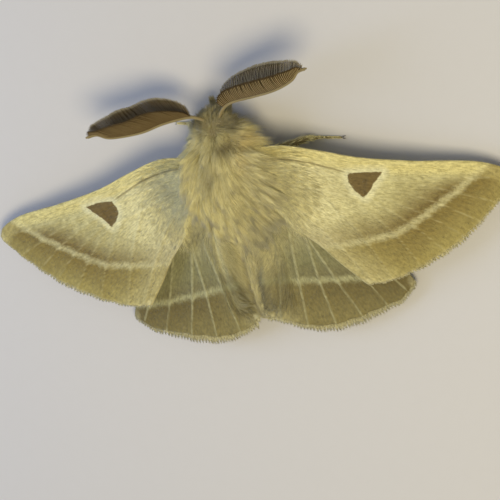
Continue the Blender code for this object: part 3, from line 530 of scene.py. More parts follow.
def rearHair(wing, material, draw):
    # long hair off the forewing's hind edge beside the body, which hangs back over the root of the hindwing
    n = wingHair["forewing"]["rear"]
    u, v = 0.03 + 0.4 * draw.beta(1.1, 1.8, n), draw.uniform(0.72, 1.0, n)
    length = draw.uniform(1.6, 3.4, n) * (1 - 0.9 * u)
    here = wing.at(u, v)
    way = draw.normal(-0.05, 0.1, n) + 0.5 * u
    lift = draw.uniform(0.1, 0.4, n)
    made = []
    for s in np.linspace(0, 1, 4):
        flat = here + columns(np.sin(way), -np.cos(way)) * (length * s)[:, None]
        x, y = flat.T
        # how far it's still over the forewing, and how far over the hindwing
        off = np.maximum(y - here[:, 1] + 0.2, -1.2) + 1.2
        on = np.clip(off / 1.2 - 3 * (1 - v) * s, 0, 1)
        level = on * wingHeight(forewing, x, y) + (1 - on) * (wingHeight(hindwing, x, y) + 0.15)
        made.append(wing.inSpace(flat, level + lift * s ** 0.7 + 0.08))
    paths = np.stack(made, axis=1)
    marks = stationMarks(wing, paths, u, v, length)
    # it keeps the colours of the root, wherever it hangs
    marks["lineDist"] = np.minimum(marks["lineDist"], -3.0)
    marks["rootDist"] = np.minimum(marks["rootDist"], 3.0)
    marks["marginDist"] = np.full_like(marks["marginDist"], 3.0)
    marks["shade"] = draw.uniform(0.0, 2.2, n)
    growOnWing(wing, "rearHair", paths, marks, u, v, material, draw)


def marginHair(wing, material, draw):
    # long straight hair along the inner margin, which leans over the side of the abdomen
    spec = wingHair["margin"][wing.side]
    n = spec["hairs"]
    u, v = 0.04 + 0.8 * draw.beta(1.2, 1.3, n), 1 - 0.2 * draw.beta(1.0, 2.0, n)
    length = draw.uniform(1.7, spec["longest"], n) * (1 - 0.4 * u)
    beside = smoothStep(0.84, 0.98, v)
    sway = -0.1 - spec["lean"] * beside + draw.normal(0, 0.08, n)
    paths = wingPaths(wing, u, v, length, draw.uniform(0.05, 0.3, n) + 0.2 * beside, sway, 4)
    marks = stationMarks(wing, paths, u, v, length)
    # where it comes to the abdomen it lies on the hair there
    over = abdomenTop(paths[:, :, 0], paths[:, :, 1]) + draw.uniform(0.25, 0.5, n)[:, None]
    paths[:, 1:, 2] = np.maximum(paths[:, 1:, 2], over[:, 1:])
    marks["shade"] = draw.uniform(0.0, 2.2, n)
    growOnWing(wing, "marginHair", paths, marks, u, v, material, draw)


def fringe(wing, material, draw):
    # ragged clumps along the outer margin
    spec, clumps = wingHair[wing.kind], wingHair["clumps"]
    n = spec["fringe"]
    v = draw.uniform(0.0, 1.0, n)
    clump = np.round(v * clumps + draw.normal(0, 0.14, n)) / clumps
    u = draw.uniform(0.972, 0.998, n)
    marks = wing.marksAt(u, v)
    marks["marginDist"] = np.full(n, -0.3)
    marks["shade"] = draw.uniform(0.0, 2.0, n)
    # each clump has a length of its own, from the sine of a large multiple of its place
    own = 0.7 + 0.5 * np.sin(clump * 977) ** 2
    length = (wing.spec["fringe"] + spec["pastRim"]) * draw.uniform(0.65, 1.1, n) * own
    lift, sway = draw.uniform(-0.08, 0.06, n), draw.normal(0, 0.16, n)
    paths = wingPaths(wing, u, v, length, lift, sway, 3, start=-0.04)
    # the hairs draw together towards the middle of their clump
    level = np.zeros(n)
    toward = wingPaths(wing, np.full(n, 0.985), np.clip(clump, 0, 1), length, level, level, 3)
    share = np.linspace(0, 1, 3)[None, :, None] ** 2 * 0.75
    paths[:, :, :2] = paths[:, :, :2] * (1 - share) + toward[:, :, :2] * share
    growOnWing(wing, "fringe", paths, marks, u, v, material, draw)


def wingCoat(wing, material):
    draw = np.random.default_rng(len(wing.name) * 7 + wing.way)
    wingScales(wing, material, draw)
    baseHair(wing, material, draw)
    longHair = marginHair if wing.kind == "hindwing" else rearHair
    longHair(wing, material, draw)
    fringe(wing, material, draw)


# The body: middle and radii of each part of the flesh, as it is under the coat


body = {
    "thorax": {"middle": (0.0, 1.0, 3.3), "radii": (2.4, 4.0, 1.9), "leastGirth": 0.12},
    "neck": {"middle": (0.2, 4.7, 3.2), "radii": (1.6, 1.5, 1.3)},
    "head": {"middle": (0.25, 6.05, 3.12), "radii": (1.3, 1.2, 1.2), "leastGirth": 0.04},
    "abdomen": {"front": -2.4, "length": 8.1, "halfWidth": 1.7, "halfHeight": 1.4, "frontZ": 3.1,
                "tipZ": 1.95, "rings": 8},
}
# the abdomen in its coat
coated = {"front": -3.0, "length": 7.8, "halfWidth": 2.0, "domeHalfWidth": 2.1, "domeHeight": 1.4,
          "from": -2.2}
# the height where there is no surface: well below the floor
noSurface = -9.0
eyes = {"radius": 0.72, "middles": {"eye_right": (1.47, 6.35, 3.05), "eye_left": (-0.97, 6.35, 3.05)}}


def abdomenShare(y):
    return (coated["front"] - y) / coated["length"]


def abdomenScale(share):
    share = np.clip(share, 0, 1)
    return (1 - share ** 2.3) ** 0.75 * (0.93 + 0.07 * np.sin(np.pi * np.minimum(1.0, share * 2)))


def abdomenHalfWidth(y):
    return coated["halfWidth"] * abdomenScale(abdomenShare(y))


def abdomenMiddleZ(share):
    spec = body["abdomen"]
    return spec["frontZ"] + (spec["tipZ"] - spec["frontZ"]) * share


def fleshTop(x, y):
    # the height of the upper side of thorax, neck and head
    tops = []
    for name in ("thorax", "neck", "head"):
        mid, radii = body[name]["middle"], body[name]["radii"]
        left = 1 - ((x - mid[0]) / radii[0]) ** 2 - ((y - mid[1]) / radii[1]) ** 2
        tops.append(np.where(left > 0, mid[2] + radii[2] * np.sqrt(np.maximum(left, 0)), noSurface))
    return np.max(tops, axis=0)


def abdomenTop(x, y):
    # the height of the upper side of the abdomen in its coat
    side, share, wide = np.abs(x), abdomenShare(y), coated["domeHalfWidth"]
    dome = np.sqrt(np.maximum(1 - (side / wide) ** 2, 0))
    top = abdomenMiddleZ(share) + coated["domeHeight"] * abdomenScale(share) * dome
    return np.where((y < coated["from"]) & (side < wide), top, noSurface)


def hairFloor(x, y):
    # the height that loose hair comes to rest on: the wings, the abdomen and the eyes
    side = np.abs(x)
    onForewing = y > 2.9 - side * 1.05
    wing = np.where(onForewing, wingHeight(forewing, x, y), wingHeight(hindwing, x, y) + 0.1) + 0.18
    wing = np.where((side > 1.7) & (y < 4.25 - 0.05 * side), wing, noSurface)
    lids = noSurface
    for middle in eyes["middles"].values():
        left = (eyes["radius"] + 0.05) ** 2 - (x - middle[0]) ** 2 - (y - middle[1]) ** 2
        lids = np.maximum(lids, np.where(left > 0, middle[2] + np.sqrt(np.maximum(left, 0)), noSurface))
    return np.maximum(np.maximum(wing, abdomenTop(x, y)), lids)


# Fur of the upper side. Each row is a place in plan, the way its hair sets out in degrees from straight
# back towards the moth's right, the hair's length, how far it stands off and the share of its way that it
# bends back by at its tip. Between the rows the hair blends from one to the other
streams = np.array([
    (-0.3, 6.95, -160, 1.1, 0.5, 0.05), (0.3, 7.0, 178, 1.2, 0.55, 0.05), (0.9, 6.95, 150, 1.1, 0.5, 0.05),
    (-0.7, 6.3, -140, 1.3, 0.5, 0.1), (0.3, 6.4, 172, 1.2, 0.65, 0.1), (1.2, 6.3, 128, 1.5, 0.5, 0.1),
    (-1.0, 5.7, -115, 2.2, 0.7, 0.55), (-0.2, 5.75, -55, 1.7, 0.85, 0.3), (0.6, 5.75, 30, 1.6, 0.85, 0.3),
    (1.45, 5.6, 106, 2.8, 0.7, 0.3), (-1.3, 4.9, -98, 3.0, 0.85, 0.65), (-0.5, 4.8, -45, 2.2, 1.0, 0.4),
    (0.4, 4.8, -18, 2.0, 1.05, 0.3), (1.1, 4.8, 28, 2.2, 1.0, 0.2), (1.7, 4.9, 100, 3.6, 0.85, 0.3),
    (-1.7, 4.1, -88, 3.5, 0.95, 0.7), (-1.0, 3.7, -38, 2.9, 1.1, 0.4), (0.2, 3.7, -10, 2.7, 1.15, 0.2),
    (1.2, 3.7, 24, 2.9, 1.1, 0.2), (1.9, 4.0, 98, 3.9, 0.95, 0.35), (-2.2, 2.9, -78, 3.5, 0.95, 0.7),
    (2.2, 2.9, 88, 3.9, 0.9, 0.35), (-1.6, 2.4, -34, 3.2, 1.05, 0.5), (0.0, 2.2, -4, 3.2, 1.25, 0.2),
    (1.6, 2.4, 32, 3.4, 1.05, 0.2), (2.35, 1.6, 68, 3.8, 0.8, 0.3), (-2.3, 1.4, -50, 3.7, 0.8, 0.7),
    (-1.1, 0.8, 2, 3.0, 1.15, 0.2), (0.3, 0.6, 10, 3.1, 1.25, 0.2), (1.5, 0.8, 20, 3.4, 1.05, 0.2),
    (2.3, 0.2, 40, 4.1, 0.5, 0.3), (-2.0, -0.2, -16, 2.6, 0.7, 0.5), (-0.8, -0.9, 20, 2.4, 1.0, 0.1),
    (0.6, -1.1, 14, 3.2, 0.9, 0.1), (1.9, -1.0, 16, 4.2, 0.5, 0.2), (-0.9, -2.3, 28, 1.6, 0.6, 0.1),
    (0.9, -2.3, 12, 3.2, 0.5, 0.1),
])
fur = {
    "mantle": {"hairs": 26000, "locks": 640, "width": (0.03, 0.05), "pieces": 3},
    "collar": {"hairs": 12000, "locks": 340, "width": (0.028, 0.045), "pieces": 1},
    "stations": 4,
}


def streamAt(x, y):
    # the way, length, lift and bend of the hair that is rooted at each place
    near = 1 / ((x[:, None] - streams[:, 0]) ** 2 + (y[:, None] - streams[:, 1]) ** 2 + 0.06) ** 2.5
    near /= near.sum(axis=1)[:, None]
    ways = np.radians(streams[:, 2])
    length, lift, bend = (near @ streams[:, 3:]).T
    return np.arctan2(near @ np.sin(ways), near @ np.cos(ways)), length, lift, bend


def furPaths(x, y, way, length, lift, bend, sway):
    here = columns(x, y)
    low = fleshTop(x, y)
    last = fur["stations"] - 1
    step = length / last
    made = []
    for k in range(last + 1):
        s = k / last
        if k:
            # hair bends back towards the tail as it goes
            turn = way * (1 - bend * s) + sway * s
            here = here + columns(np.sin(turn), -np.cos(turn)) * step[:, None]
        # past the flesh it sinks by about a quarter of its run, down to what it can rest on
        skin = fleshTop(*here.T)
        low = np.where(skin > 0, skin, low - 0.26 * step)
        rest = np.maximum(low, hairFloor(*here.T))
        rise = lift * math.sin(min(1.0, s * 1.6) * math.pi / 2) * (1 - 0.35 * s)
        made.append(columns(here, rest + rise - (0.12 if k == 0 else 0.0)))
    return np.stack(made, axis=1)


# Patches of other colour in the coat: middle, radii and strength. Brown is the coat's own colour in the
# whorl behind the head, and it is also painted shade: it darkens the whorl's gap, the partings beside the
# head, the gaps at the end of the thorax's dome and a broad stretch of the back left of the middle. Ochre is
# the right shoulder's own colour, painted paler and brighter on the right shoulder and dome as painted light
coatPatches = {
    "brown": [((1.1, 4.55), (0.9, 0.6), 1.0), ((-0.9, 5.7), (0.4, 0.5), 0.6), ((2.0, 6.0), (0.5, 0.7), 0.7),
              ((-0.5, 2.3), (0.6, 0.9), 0.35), ((-1.9, -2.1), (0.4, 0.9), 0.7),
              ((0.9, -4.7), (0.2, 0.4), 0.7), ((-1.1, 2.6), (1.6, 3.2), 0.36)],
    "ochre": [((3.0, 5.0), (1.5, 0.9), 0.9), ((2.5, 3.4), (0.7, 1.3), 0.6)],
}


def patchesOf(colour, x, y):
    total = 0
    for (midX, midY), (wide, long), strength in coatPatches[colour]:
        total = total + strength * np.exp(-((x - midX) / wide) ** 2 - ((y - midY) / long) ** 2)
    return total


def bodyMarks(x, y, shade):
    # the head is brown all over. The abdomen is duller, most of all on its left half and beyond the level
    # of the wings' pale line
    tail = 0.05 + (0.35 + 0.3 * smoothStep(-7.4, -8.6, y)) * smoothStep(0.5, -0.3, x)
    # the brown patches also carry painted shade, and the ochre patches also carry painted light on the right
    # shoulder and dome
    brown = patchesOf("brown", x, y) + 0.85 * smoothStep(5.7, 6.8, y) + tail * smoothStep(-3.2, -4.6, y)
    ochre = patchesOf("ochre", x, y)
    return {"shade": shade, "brown": np.clip(brown, 0, 1), "ochre": np.clip(ochre, 0, 1)}


def evenMarks(shade, brown):
    return {"shade": shade, "brown": np.full(len(shade), brown), "ochre": np.zeros(len(shade))}


def skinPatch(x, y, z):
    # the unwrap that all the body's tufts share: round the body, and along it
    turn = np.arctan2(z - 3.2, x)
    return columns((turn + math.pi) / (2 * math.pi), (y + 11.0) / 19.5)


def furRoots(draw, name, count):
    # places all over the stretch that the fur grows from, on the flesh
    if name == "mantle":
        mid, radii = body["thorax"]["middle"], body["thorax"]["radii"]
        spots = draw.uniform(-1, 1, (count * 2, 2))
        spots = spots[(spots ** 2).sum(axis=1) < 0.94][:count]
        # denser towards the steep sides
        spots *= np.linalg.norm(spots, axis=1)[:, None] ** -0.2
        return mid[0] + spots[:, 0] * radii[0], mid[1] + spots[:, 1] * radii[1]
    y = draw.uniform(3.9, 7.15, count)
    half = np.interp(y, (3.9, 4.4, 5.4, 6.2, 7.1), (1.7, 1.6, 1.4, 1.2, 0.7))
    off = draw.uniform(-1, 1, count)
    x = body["head"]["middle"][0] + np.sign(off) * np.abs(off) ** 0.7 * half
    onFlesh = fleshTop(x, y) > 0
    return x[onFlesh], y[onFlesh]


def upperFur(name, material, seed):
    spec = fur[name]
    draw = np.random.default_rng(seed)
    x, y = furRoots(draw, name, spec["hairs"])
    lockX, lockY = furRoots(draw, name, spec["locks"])
    n, locks = len(x), len(lockX)
    # the hairs of a lock share its way, its length, its sway and much of its lift
    lockWay, lockLength, lockLift, lockBend = streamAt(lockX, lockY)
    lockLength = lockLength * draw.uniform(0.8, 1.12, locks)
    lockSway = draw.normal(0, 0.14, locks)
    lockLift = lockLift * draw.uniform(0.6, 1.05, locks)
    near = np.argmin((x[:, None] - lockX) ** 2 + (y[:, None] - lockY) ** 2, axis=1)
    way, _, _, bend = streamAt(x, y)
    length = lockLength[near] * draw.uniform(0.7, 1.1, n)
    lift = lockLift[near] * (0.35 + 0.65 * np.sqrt(draw.uniform(0, 1.1, n)))
    paths = furPaths(x, y, way, length, lift, bend, lockSway[near] + draw.normal(0, 0.07, n))
    # towards their tips they draw together
    lay = furPaths(lockX, lockY, lockWay, lockLength, lockLift, lockBend, lockSway)[near]
    share = np.linspace(0, 1, fur["stations"])[None, :, None] ** 1.4 * 0.3
    offset = columns(x - lockX[near], y - lockY[near], np.zeros(n))[:, None, :] * 0.5
    paths = paths * (1 - share) + (lay + offset) * share
    floor = hairFloor(paths[:, :, 0], paths[:, :, 1])
    paths[:, 1:, 2] = np.maximum(paths[:, 1:, 2], floor[:, 1:] + 0.04)
    outs = unit(columns((x - 0.1) * 0.3, np.zeros(n), np.ones(n)))
    shade = draw.uniform(-1, 1, n) + draw.normal(0, 0.35, locks)[near]
    marks = bodyMarks(paths[:, :, 0], paths[:, :, 1], np.clip(shade, -1.4, 1.4))
    patch = skinPatch(x, y, fleshTop(x, y))
    width = draw.uniform(*spec["width"], n)
    # one piece for each stretch from left to right
    cuts = np.quantile(x, np.linspace(0, 1, spec["pieces"] + 1))
    for i, (low, high) in enumerate(zip(cuts, cuts[1:])):
        part = (x >= low) & ((x < high) | (high == cuts[-1]))
        ownMarks = {key: value[part] for key, value in marks.items()}
        growTufts("%s_hair%d" % (name, i + 1), paths[part], outs[part], width[part], 0.6, ownMarks,
                  patch[part], material, taper=0.45)


def ringAt(name, y):
    # the middle of a part of the flesh at y, across and in height, and its half width and half height there
    spec = body[name]
    if name == "abdomen":
        scale = abdomenScale((spec["front"] - 0.3 - y) / spec["length"])
        middleZ = abdomenMiddleZ(np.clip(abdomenShare(y), 0, 1.1))
        return 0.0, middleZ, spec["halfWidth"] * scale, spec["halfHeight"] * scale
    mid, radii = spec["middle"], spec["radii"]
    girth = np.sqrt(np.maximum(1 - ((y - mid[1]) / radii[1]) ** 2, spec["leastGirth"]))
    return mid[0], mid[2], radii[0] * girth, radii[2] * girth


def ringPaths(name, y, angle, length, lift, droop, stations):
    # hairs that run back along a rounded part of the body, and forwards where length is below 0
    made = []
    for s in np.linspace(0, 1, stations):
        here = y - length * s
        middleX, middleZ, wide, high = ringAt(name, here)
        turn = angle + droop * s
        rise = lift * np.sin(np.minimum(1.0, s * 1.5 + 0.02) * np.pi / 2) - 0.08 * (s == 0)
        made.append(columns(middleX + (wide + rise) * np.cos(turn), here,
                            middleZ + (high + rise) * np.sin(turn)))
    return np.stack(made, axis=1)


def growRound(name, paths, angle, marks, width, material, draw):
    outs = columns(np.cos(angle), np.zeros(len(angle)), np.sin(angle))
    growTufts(name, paths, outs, draw.uniform(*width, len(angle)), 0.6, marks, skinPatch(*paths[:, 0].T),
              material)


def breastCoat(material):
    draw = np.random.default_rng(6)
    n = 2800
    y = draw.uniform(-2.2, 4.9, n)
    angle = np.radians(draw.uniform(-185, 5, n))
    length, lift = draw.uniform(0.9, 1.7, n), draw.uniform(0.25, 0.6, n)
    paths = ringPaths("thorax", y, angle, length, lift, draw.normal(0, 0.1, n), 3)
    marks = evenMarks(draw.uniform(-1, 1, n), 0.25)
    growRound("breast_hair", paths, angle, marks, (0.045, 0.07), material, draw)


def abdomenCoat(material):
    # straight hair on the right half, level with the wing's. On the left half it's combed across to the
    # middle, where it goes under the other
    draw = np.random.default_rng(7)
    n = 9600
    y = -2.5 - 7.9 * draw.uniform(0, 1, n) ** 0.9
    isUpper = draw.uniform(0, 1, n) < 0.78
    angle = np.radians(np.where(isUpper, draw.uniform(-5, 185, n), draw.uniform(185, 355, n)))
    upper = np.sin(angle) > 0
    seam = 1.25 - 0.06 * (y + 5)
    left = upper & (angle > seam)
    length = np.where(upper, draw.uniform(1.1, 2.2, n), draw.uniform(0.7, 1.3, n))
    length *= 1 - 0.35 * smoothStep(-8, -10.5, y)
    lift = np.where(upper, draw.uniform(0.1, 0.5, n), draw.uniform(0.1, 0.3, n))
    flatter = lift * (0.25 + 0.75 * smoothStep(seam, seam + 0.7, angle))
    lift = np.where(left, flatter, lift + 0.12 * upper)
    combed = np.minimum(-0.35, np.maximum(-0.75, (seam - angle) * 0.8))
    droop = np.where(left, combed, 0.0) + draw.normal(0, 0.07, n)
    paths = ringPaths("abdomen", y, angle, length, lift, droop, 4)
    # beside the abdomen it lies on the wings
    floor = hairFloor(paths[:, :, 0], paths[:, :, 1])
    over = upper[:, None] & (np.abs(paths[:, :, 0]) > abdomenHalfWidth(paths[:, :, 1]) - 0.1)
    over[:, 0] = False
    paths[:, :, 2] = np.where(over, np.maximum(paths[:, :, 2], floor + 0.04), paths[:, :, 2])
    marks = bodyMarks(paths[:, :, 0], paths[:, :, 1], draw.uniform(-1.3, 1.3, n))
    growRound("abdomen_hair", paths, angle, marks, (0.03, 0.05), material, draw)


def faceCoat(material):
    # the face and cheeks: short hair that runs forwards, shaggier between the antennae, round the bare eyes
    draw = np.random.default_rng(8)
    n = 5600
    angle = draw.uniform(-math.pi, math.pi, n)
    y = 4.9 + 2.3 * draw.uniform(0, 1, n) ** 0.75
    crown = (np.sin(angle) > 0.2) & (y > 6.2)
    length = np.where(crown, draw.uniform(0.6, 1.4, n), draw.uniform(0.35, 0.8, n))
    lift = np.where(crown, draw.uniform(0.15, 0.6, n), draw.uniform(0.08, 0.3, n))
    paths = ringPaths("head", y, angle, -length, lift, draw.normal(0, 0.2, n), 4)
    off = [np.linalg.norm(paths - middle, axis=2) for middle in eyes["middles"].values()]
    clear = (np.minimum(*off) > eyes["radius"] + 0.02).all(axis=1)
    paths, angle = paths[clear], angle[clear]
    marks = evenMarks(draw.uniform(-1, 1, len(angle)), 0.35)
    growRound("face_hair", paths, angle, marks, (0.03, 0.05), material, draw)


# Legs: root, coxa, knee, ankle and the tarsus, as the solids have them


legs = {
    "joints": {
        "foreleg_right": [(1.4, 3.7, 2.0), (1.15, 4.95, 1.45), (0.35, 5.75, 0.62), (0.05, 6.5, 0.24),
                          (-0.2, 7.4, 0.2)],
        "foreleg_left": [(-1.7, 3.7, 2.2), (-2.5, 5.35, 1.75), (-3.3, 5.85, 0.8), (-3.95, 6.0, 0.24),
                         (-5.0, 6.15, 0.2)],
        "midleg_right": [(1.8, 1.7, 1.9), (4.35, 3.25, 2.0), (7.0, 3.6, 0.75), (7.9, 3.5, 0.24),
                         (10.0, 3.25, 0.2)],
        "midleg_left": [(-1.8, 1.7, 1.9), (-4.2, 1.7, 2.0), (-6.4, 1.0, 0.75), (-7.3, 0.75, 0.24),
                        (-9.3, 0.3, 0.2)],
        "hindleg_right": [(1.6, -0.5, 1.9), (3.3, -2.0, 1.7), (4.4, -4.6, 0.75), (4.65, -5.4, 0.24),
                          (5.2, -7.3, 0.2)],
        "hindleg_left": [(-1.6, -0.5, 1.9), (-3.3, -2.0, 1.7), (-4.5, -4.6, 0.75), (-4.8, -5.4, 0.24),
                         (-5.5, -7.3, 0.2)],
    },
    "radii": (0.4, 0.36, 0.2, 0.14, 0.09),
    "segments": 5,
}
palps = {
    "joints": [(0.4, 6.5, 2.35), (0.62, 7.0, 1.85), (0.67, 7.5, 1.68), (0.7, 7.85, 1.66), (0.71, 8.1, 1.7)],
    "radii": (0.2, 0.2, 0.22, 0.17, 0.09),
}


def limbPath(joints, radii, count):
    # a leg bends sharply at its joints, so its points run straight between them with rounded corners
    pts = np.array(joints)
    fine, girth = [], []
    for i, (a, b) in enumerate(zip(pts, pts[1:])):
        for t in np.linspace(0, 1, count, endpoint=False):
            fine.append(a + (b - a) * t)
            thick = radii[i] + (radii[i + 1] - radii[i]) * t
            swell = 1.0 + (0.12 * math.sin(math.pi * t) if i < 2 else 0.0)
            if i == 3:
                swell = 1.0 + 0.16 * (((t * legs["segments"]) % 1.0) - 0.5)
            girth.append(thick * swell)
    fine.append(pts[-1])
    girth.append(radii[-1])
    fine = np.array(fine)
    for _ in range(2):
        fine[1:-1] = (fine[:-2] + 2 * fine[1:-1] + fine[2:]) / 4
    girth = np.array(girth)
    fine[:, 2] = np.maximum(fine[:, 2], girth + 0.02)
    return fine, girth


def tubeMesh(name, path, girth, sides=12):
    # a tube along the path, from a curve with a round bevel
    bpy.ops.curve.primitive_nurbs_path_add()
    tube = bpy.context.object
    tube.name = name
    curve = tube.data
    curve.splines.clear()
    spline = curve.splines.new("POLY")
    spline.points.add(len(path) - 1)
    for point, at, thick in zip(spline.points, inFrame(path), girth):
        point.co = (*at, 1.0)
        point.radius = thick
    curve.dimensions = "3D"
    curve.bevel_depth = place["metresPerMm"]
    curve.bevel_resolution = sides // 4
    curve.use_fill_caps = True
    bpy.ops.object.convert(target="MESH")
    return bpy.context.object


def ball(name, middle, radii, rings=28):
    bpy.ops.mesh.primitive_uv_sphere_add(segments=40, ring_count=rings, radius=1.0)
    piece = bpy.context.object
    piece.name = name
    # the sphere's poles lie along the body
    piece.data.transform(Matrix.Rotation(math.radians(90), 4, "X"))
    co = np.array([v.co for v in piece.data.vertices])
    piece.data.vertices.foreach_set("co", inFrame(co * radii + middle).ravel())
    return piece


def legPaths():
    return [limbPath(joints, legs["radii"], 14) for joints in legs["joints"].values()]


def palpPaths():
    middle = body["head"]["middle"][0]
    sides = [[(middle + way * x, y, z) for x, y, z in palps["joints"]] for way in (-1, 1)]
    return [limbPath(joints, palps["radii"], 8) for joints in sides]


def abdomenFlesh():
    # a sphere becomes the abdomen: eight rings swell a little between their seams
    spec = body["abdomen"]
    belly = ball("abdomenFlesh", (0, 0, 0), (1, 1, 1), 40)
    co = outOfFrame(belly.data)
    share = (1 - co[:, 1]) / 2
    y = spec["front"] - spec["length"] * share
    scale = np.maximum(abdomenScale(share), 0.02) * np.minimum(1, np.sqrt(np.maximum(share, 0) * 12))
    girth = np.maximum(np.hypot(co[:, 0], co[:, 2]), 1e-6)
    seam = 1 - 0.03 * np.cos(share * spec["rings"] * 2 * math.pi)
    # at the poles there is no way out
    x = co[:, 0] / girth * spec["halfWidth"] * scale * seam * (girth > 1e-3)
    z = co[:, 2] / girth * spec["halfHeight"] * scale * seam * (girth > 1e-3)
    middle = abdomenMiddleZ(np.clip(abdomenShare(y), 0, 1))
    belly.data.vertices.foreach_set("co", inFrame(columns(x, y, z + middle)).ravel())
    return belly


def bodySkin(material):
    names = ("thorax", "neck", "head")
    skinCell = 0.1 * place["metresPerMm"]
    parts = [ball(name + "Flesh", body[name]["middle"], body[name]["radii"]) for name in names]
    parts.append(abdomenFlesh())
    for path, girth in legPaths() + palpPaths():
        parts.append(tubeMesh("limbFlesh", path, girth))
    skin = joinParts("body_skin", parts)
    applyModifier(skin, "REMESH", "oneSkin", mode="VOXEL", voxel_size=skinCell, use_smooth_shade=True)
    applyModifier(skin, "SMOOTH", "soft", factor=0.5, iterations=4)
    wear(skin, material)
    dropUnwrap(skin)
    at = outOfFrame(skin.data)
    for key, value in bodyMarks(at[:, 0], at[:, 1], np.zeros(len(at))).items():
        setAttribute(skin.data, key, value)
    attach(skin, "root")
    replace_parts(skin, "thorax", "head", "abdomen", "palp_left", "palp_right", *legs["joints"])
    print("skin", len(skin.data.polygons), "faces")


# the leg hair's colour is lifted as painted light, since the legs lie in the wing's shadow
limbCoats = {
    "leg": {"hairs": 640, "longTo": 0.55, "long": (0.35, 0.75), "brown": 0.0, "paintedLight": 2.0, "slot": "leg"},
    "palp": {"hairs": 800, "longTo": 1.0, "long": (0.3, 0.65), "brown": 0.35, "paintedLight": 0.0,
             "slot": "head_coat"},
    "short": (0.14, 0.26),
}


def limbHairs(spec, path, girth, draw):
    # hair all round a limb: long up to a share of its length, short beyond
    n, last = spec["hairs"], len(path) - 2
    at = draw.uniform(0.08, 0.99, n) * last
    base = at.astype(int)
    t = (at - base)[:, None]
    ahead = unit(path[base + 1] - path[base])
    side = unit(np.cross(ahead, (0, 0, 1.0)))
    turn = draw.uniform(0, 2 * math.pi, n)
    out = side * np.cos(turn)[:, None] + np.cross(side, ahead) * np.sin(turn)[:, None]
    isLong = at / last < spec["longTo"]
    length = np.where(isLong, draw.uniform(*spec["long"], n), draw.uniform(*limbCoats["short"], n))
    lift = length * np.where(isLong, draw.uniform(0.12, 0.36, n), draw.uniform(0.08, 0.2, n))
    root = path[base] * (1 - t) + path[base + 1] * t + out * (girth[base] - 0.03)[:, None]
    made = []
    for s in np.linspace(0, 1, 3):
        point = root + ahead * (length * s)[:, None] + out * (lift * s ** 0.8)[:, None]
        # none goes into the floor
        point[:, 2] = np.maximum(point[:, 2], 0.03)
        made.append(point)
    return np.stack(made, axis=1), out, turn, at / last


def limbCoat(name, limbs, material, seed):
    spec = limbCoats[name]
    draw = np.random.default_rng(seed)
    allPaths, allOuts, patches = [], [], []
    for index, (path, girth) in enumerate(limbs):
        paths, out, turn, share = limbHairs(spec, path, girth, draw)
        allPaths.append(paths)
        allOuts.append(out)
        patches.append(columns((index + turn / 7) / (len(limbs) + 0.2), share))
    paths, outs, patch = np.concatenate(allPaths), np.concatenate(allOuts), np.concatenate(patches)
    # the leg hair is painted paler here as painted light against the wing's shadow
    marks = evenMarks(draw.uniform(-1, 1, len(paths)) + spec["paintedLight"], spec["brown"])
    width = draw.uniform(0.035, 0.06, len(paths))
    growTufts(name + "_coat", paths, outs, width, 0.6, marks, patch, material)


# A claw's way ahead, out to its side and up, from the end of the foot
clawPoints = [(0.0, 0.05, -0.05), (0.12, 0.1, 0.0), (0.2, 0.12, -0.06), (0.24, 0.12, -0.14)]


def claws(material):
    # two hooked claws on each foot
    parts = []
    for joints in legs["joints"].values():
        end = np.array(joints[-1])
        ahead = unit((end - joints[-2]) * (1, 1, 0))
        side = np.cross(ahead, (0, 0, 1.0))
        for way in (-1, 1):
            path = [end + ahead * run + side * way * off + (0, 0, up) for run, off, up in clawPoints]
            parts.append(tubeMesh("claw", smoothCurve(path, 8), np.linspace(0.04, 0.012, 8), 8))
    piece = joinParts("claws", parts)
    bpy.ops.object.shade_smooth()
    wear(piece, material)
    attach(piece, "root")


def eyePieces(material):
    for name, middle in eyes["middles"].items():
        bpy.ops.mesh.primitive_ico_sphere_add(subdivisions=5, radius=eyes["radius"] * place["metresPerMm"])
        eye = bpy.context.object
        eye.name = name + "_lens"
        eye.data.transform(Matrix.Translation(Vector(inFrame(middle))))
        bpy.ops.object.shade_smooth()
        wear(eye, material)
        dropUnwrap(eye)
        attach(eye, "root")
        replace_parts(eye, name)


# Antennae


antennae = {
    "route": {
        "right": [(0.85, 6.95, 3.95), (1.5, 7.8, 4.15), (2.6, 8.4, 4.45), (5.0, 8.8, 5.0), (7.3, 9.25, 5.6),
                  (9.1, 9.95, 6.05), (10.0, 10.7, 6.35), (10.9, 10.95, 6.6)],
        "left": [(-0.35, 6.95, 3.95), (-0.9, 7.3, 4.17), (-1.8, 7.52, 4.3), (-4.0, 7.3, 4.6),
                 (-6.2, 6.82, 4.92), (-8.9, 6.75, 5.28), (-10.1, 7.2, 5.46), (-11.1, 7.1, 5.6)],
    },
    "seed": {"right": 11, "left": 12},
    "stemRadius": (0.15, 0.11),
    "stemPoints": 121,
    "branches": 58,
    "branchPoints": 9,
    "reach": (0.13, 0.955),
    "branchLength": 2.5,
    "shortest": 0.25,
    "longestAt": 0.42,
    "lean": 0.45,
    "tilt": {"upper": 49.0, "lower": -8.0},
    "branchWidth": 0.085,
    "lashWidth": 0.09,
    "lashLength": 0.2,
    "lashesPerMm": 24,
    "paleTips": {"upper": 0.05, "lower": 0.8},
}


def branchLength(share):
    past = share - antennae["longestAt"]
    shape = 1 - (past / 0.62) ** 2 if past > 0 else math.sqrt(1 - (-past / 0.45) ** 3)
    return max(antennae["branchLength"] * shape, antennae["shortest"])


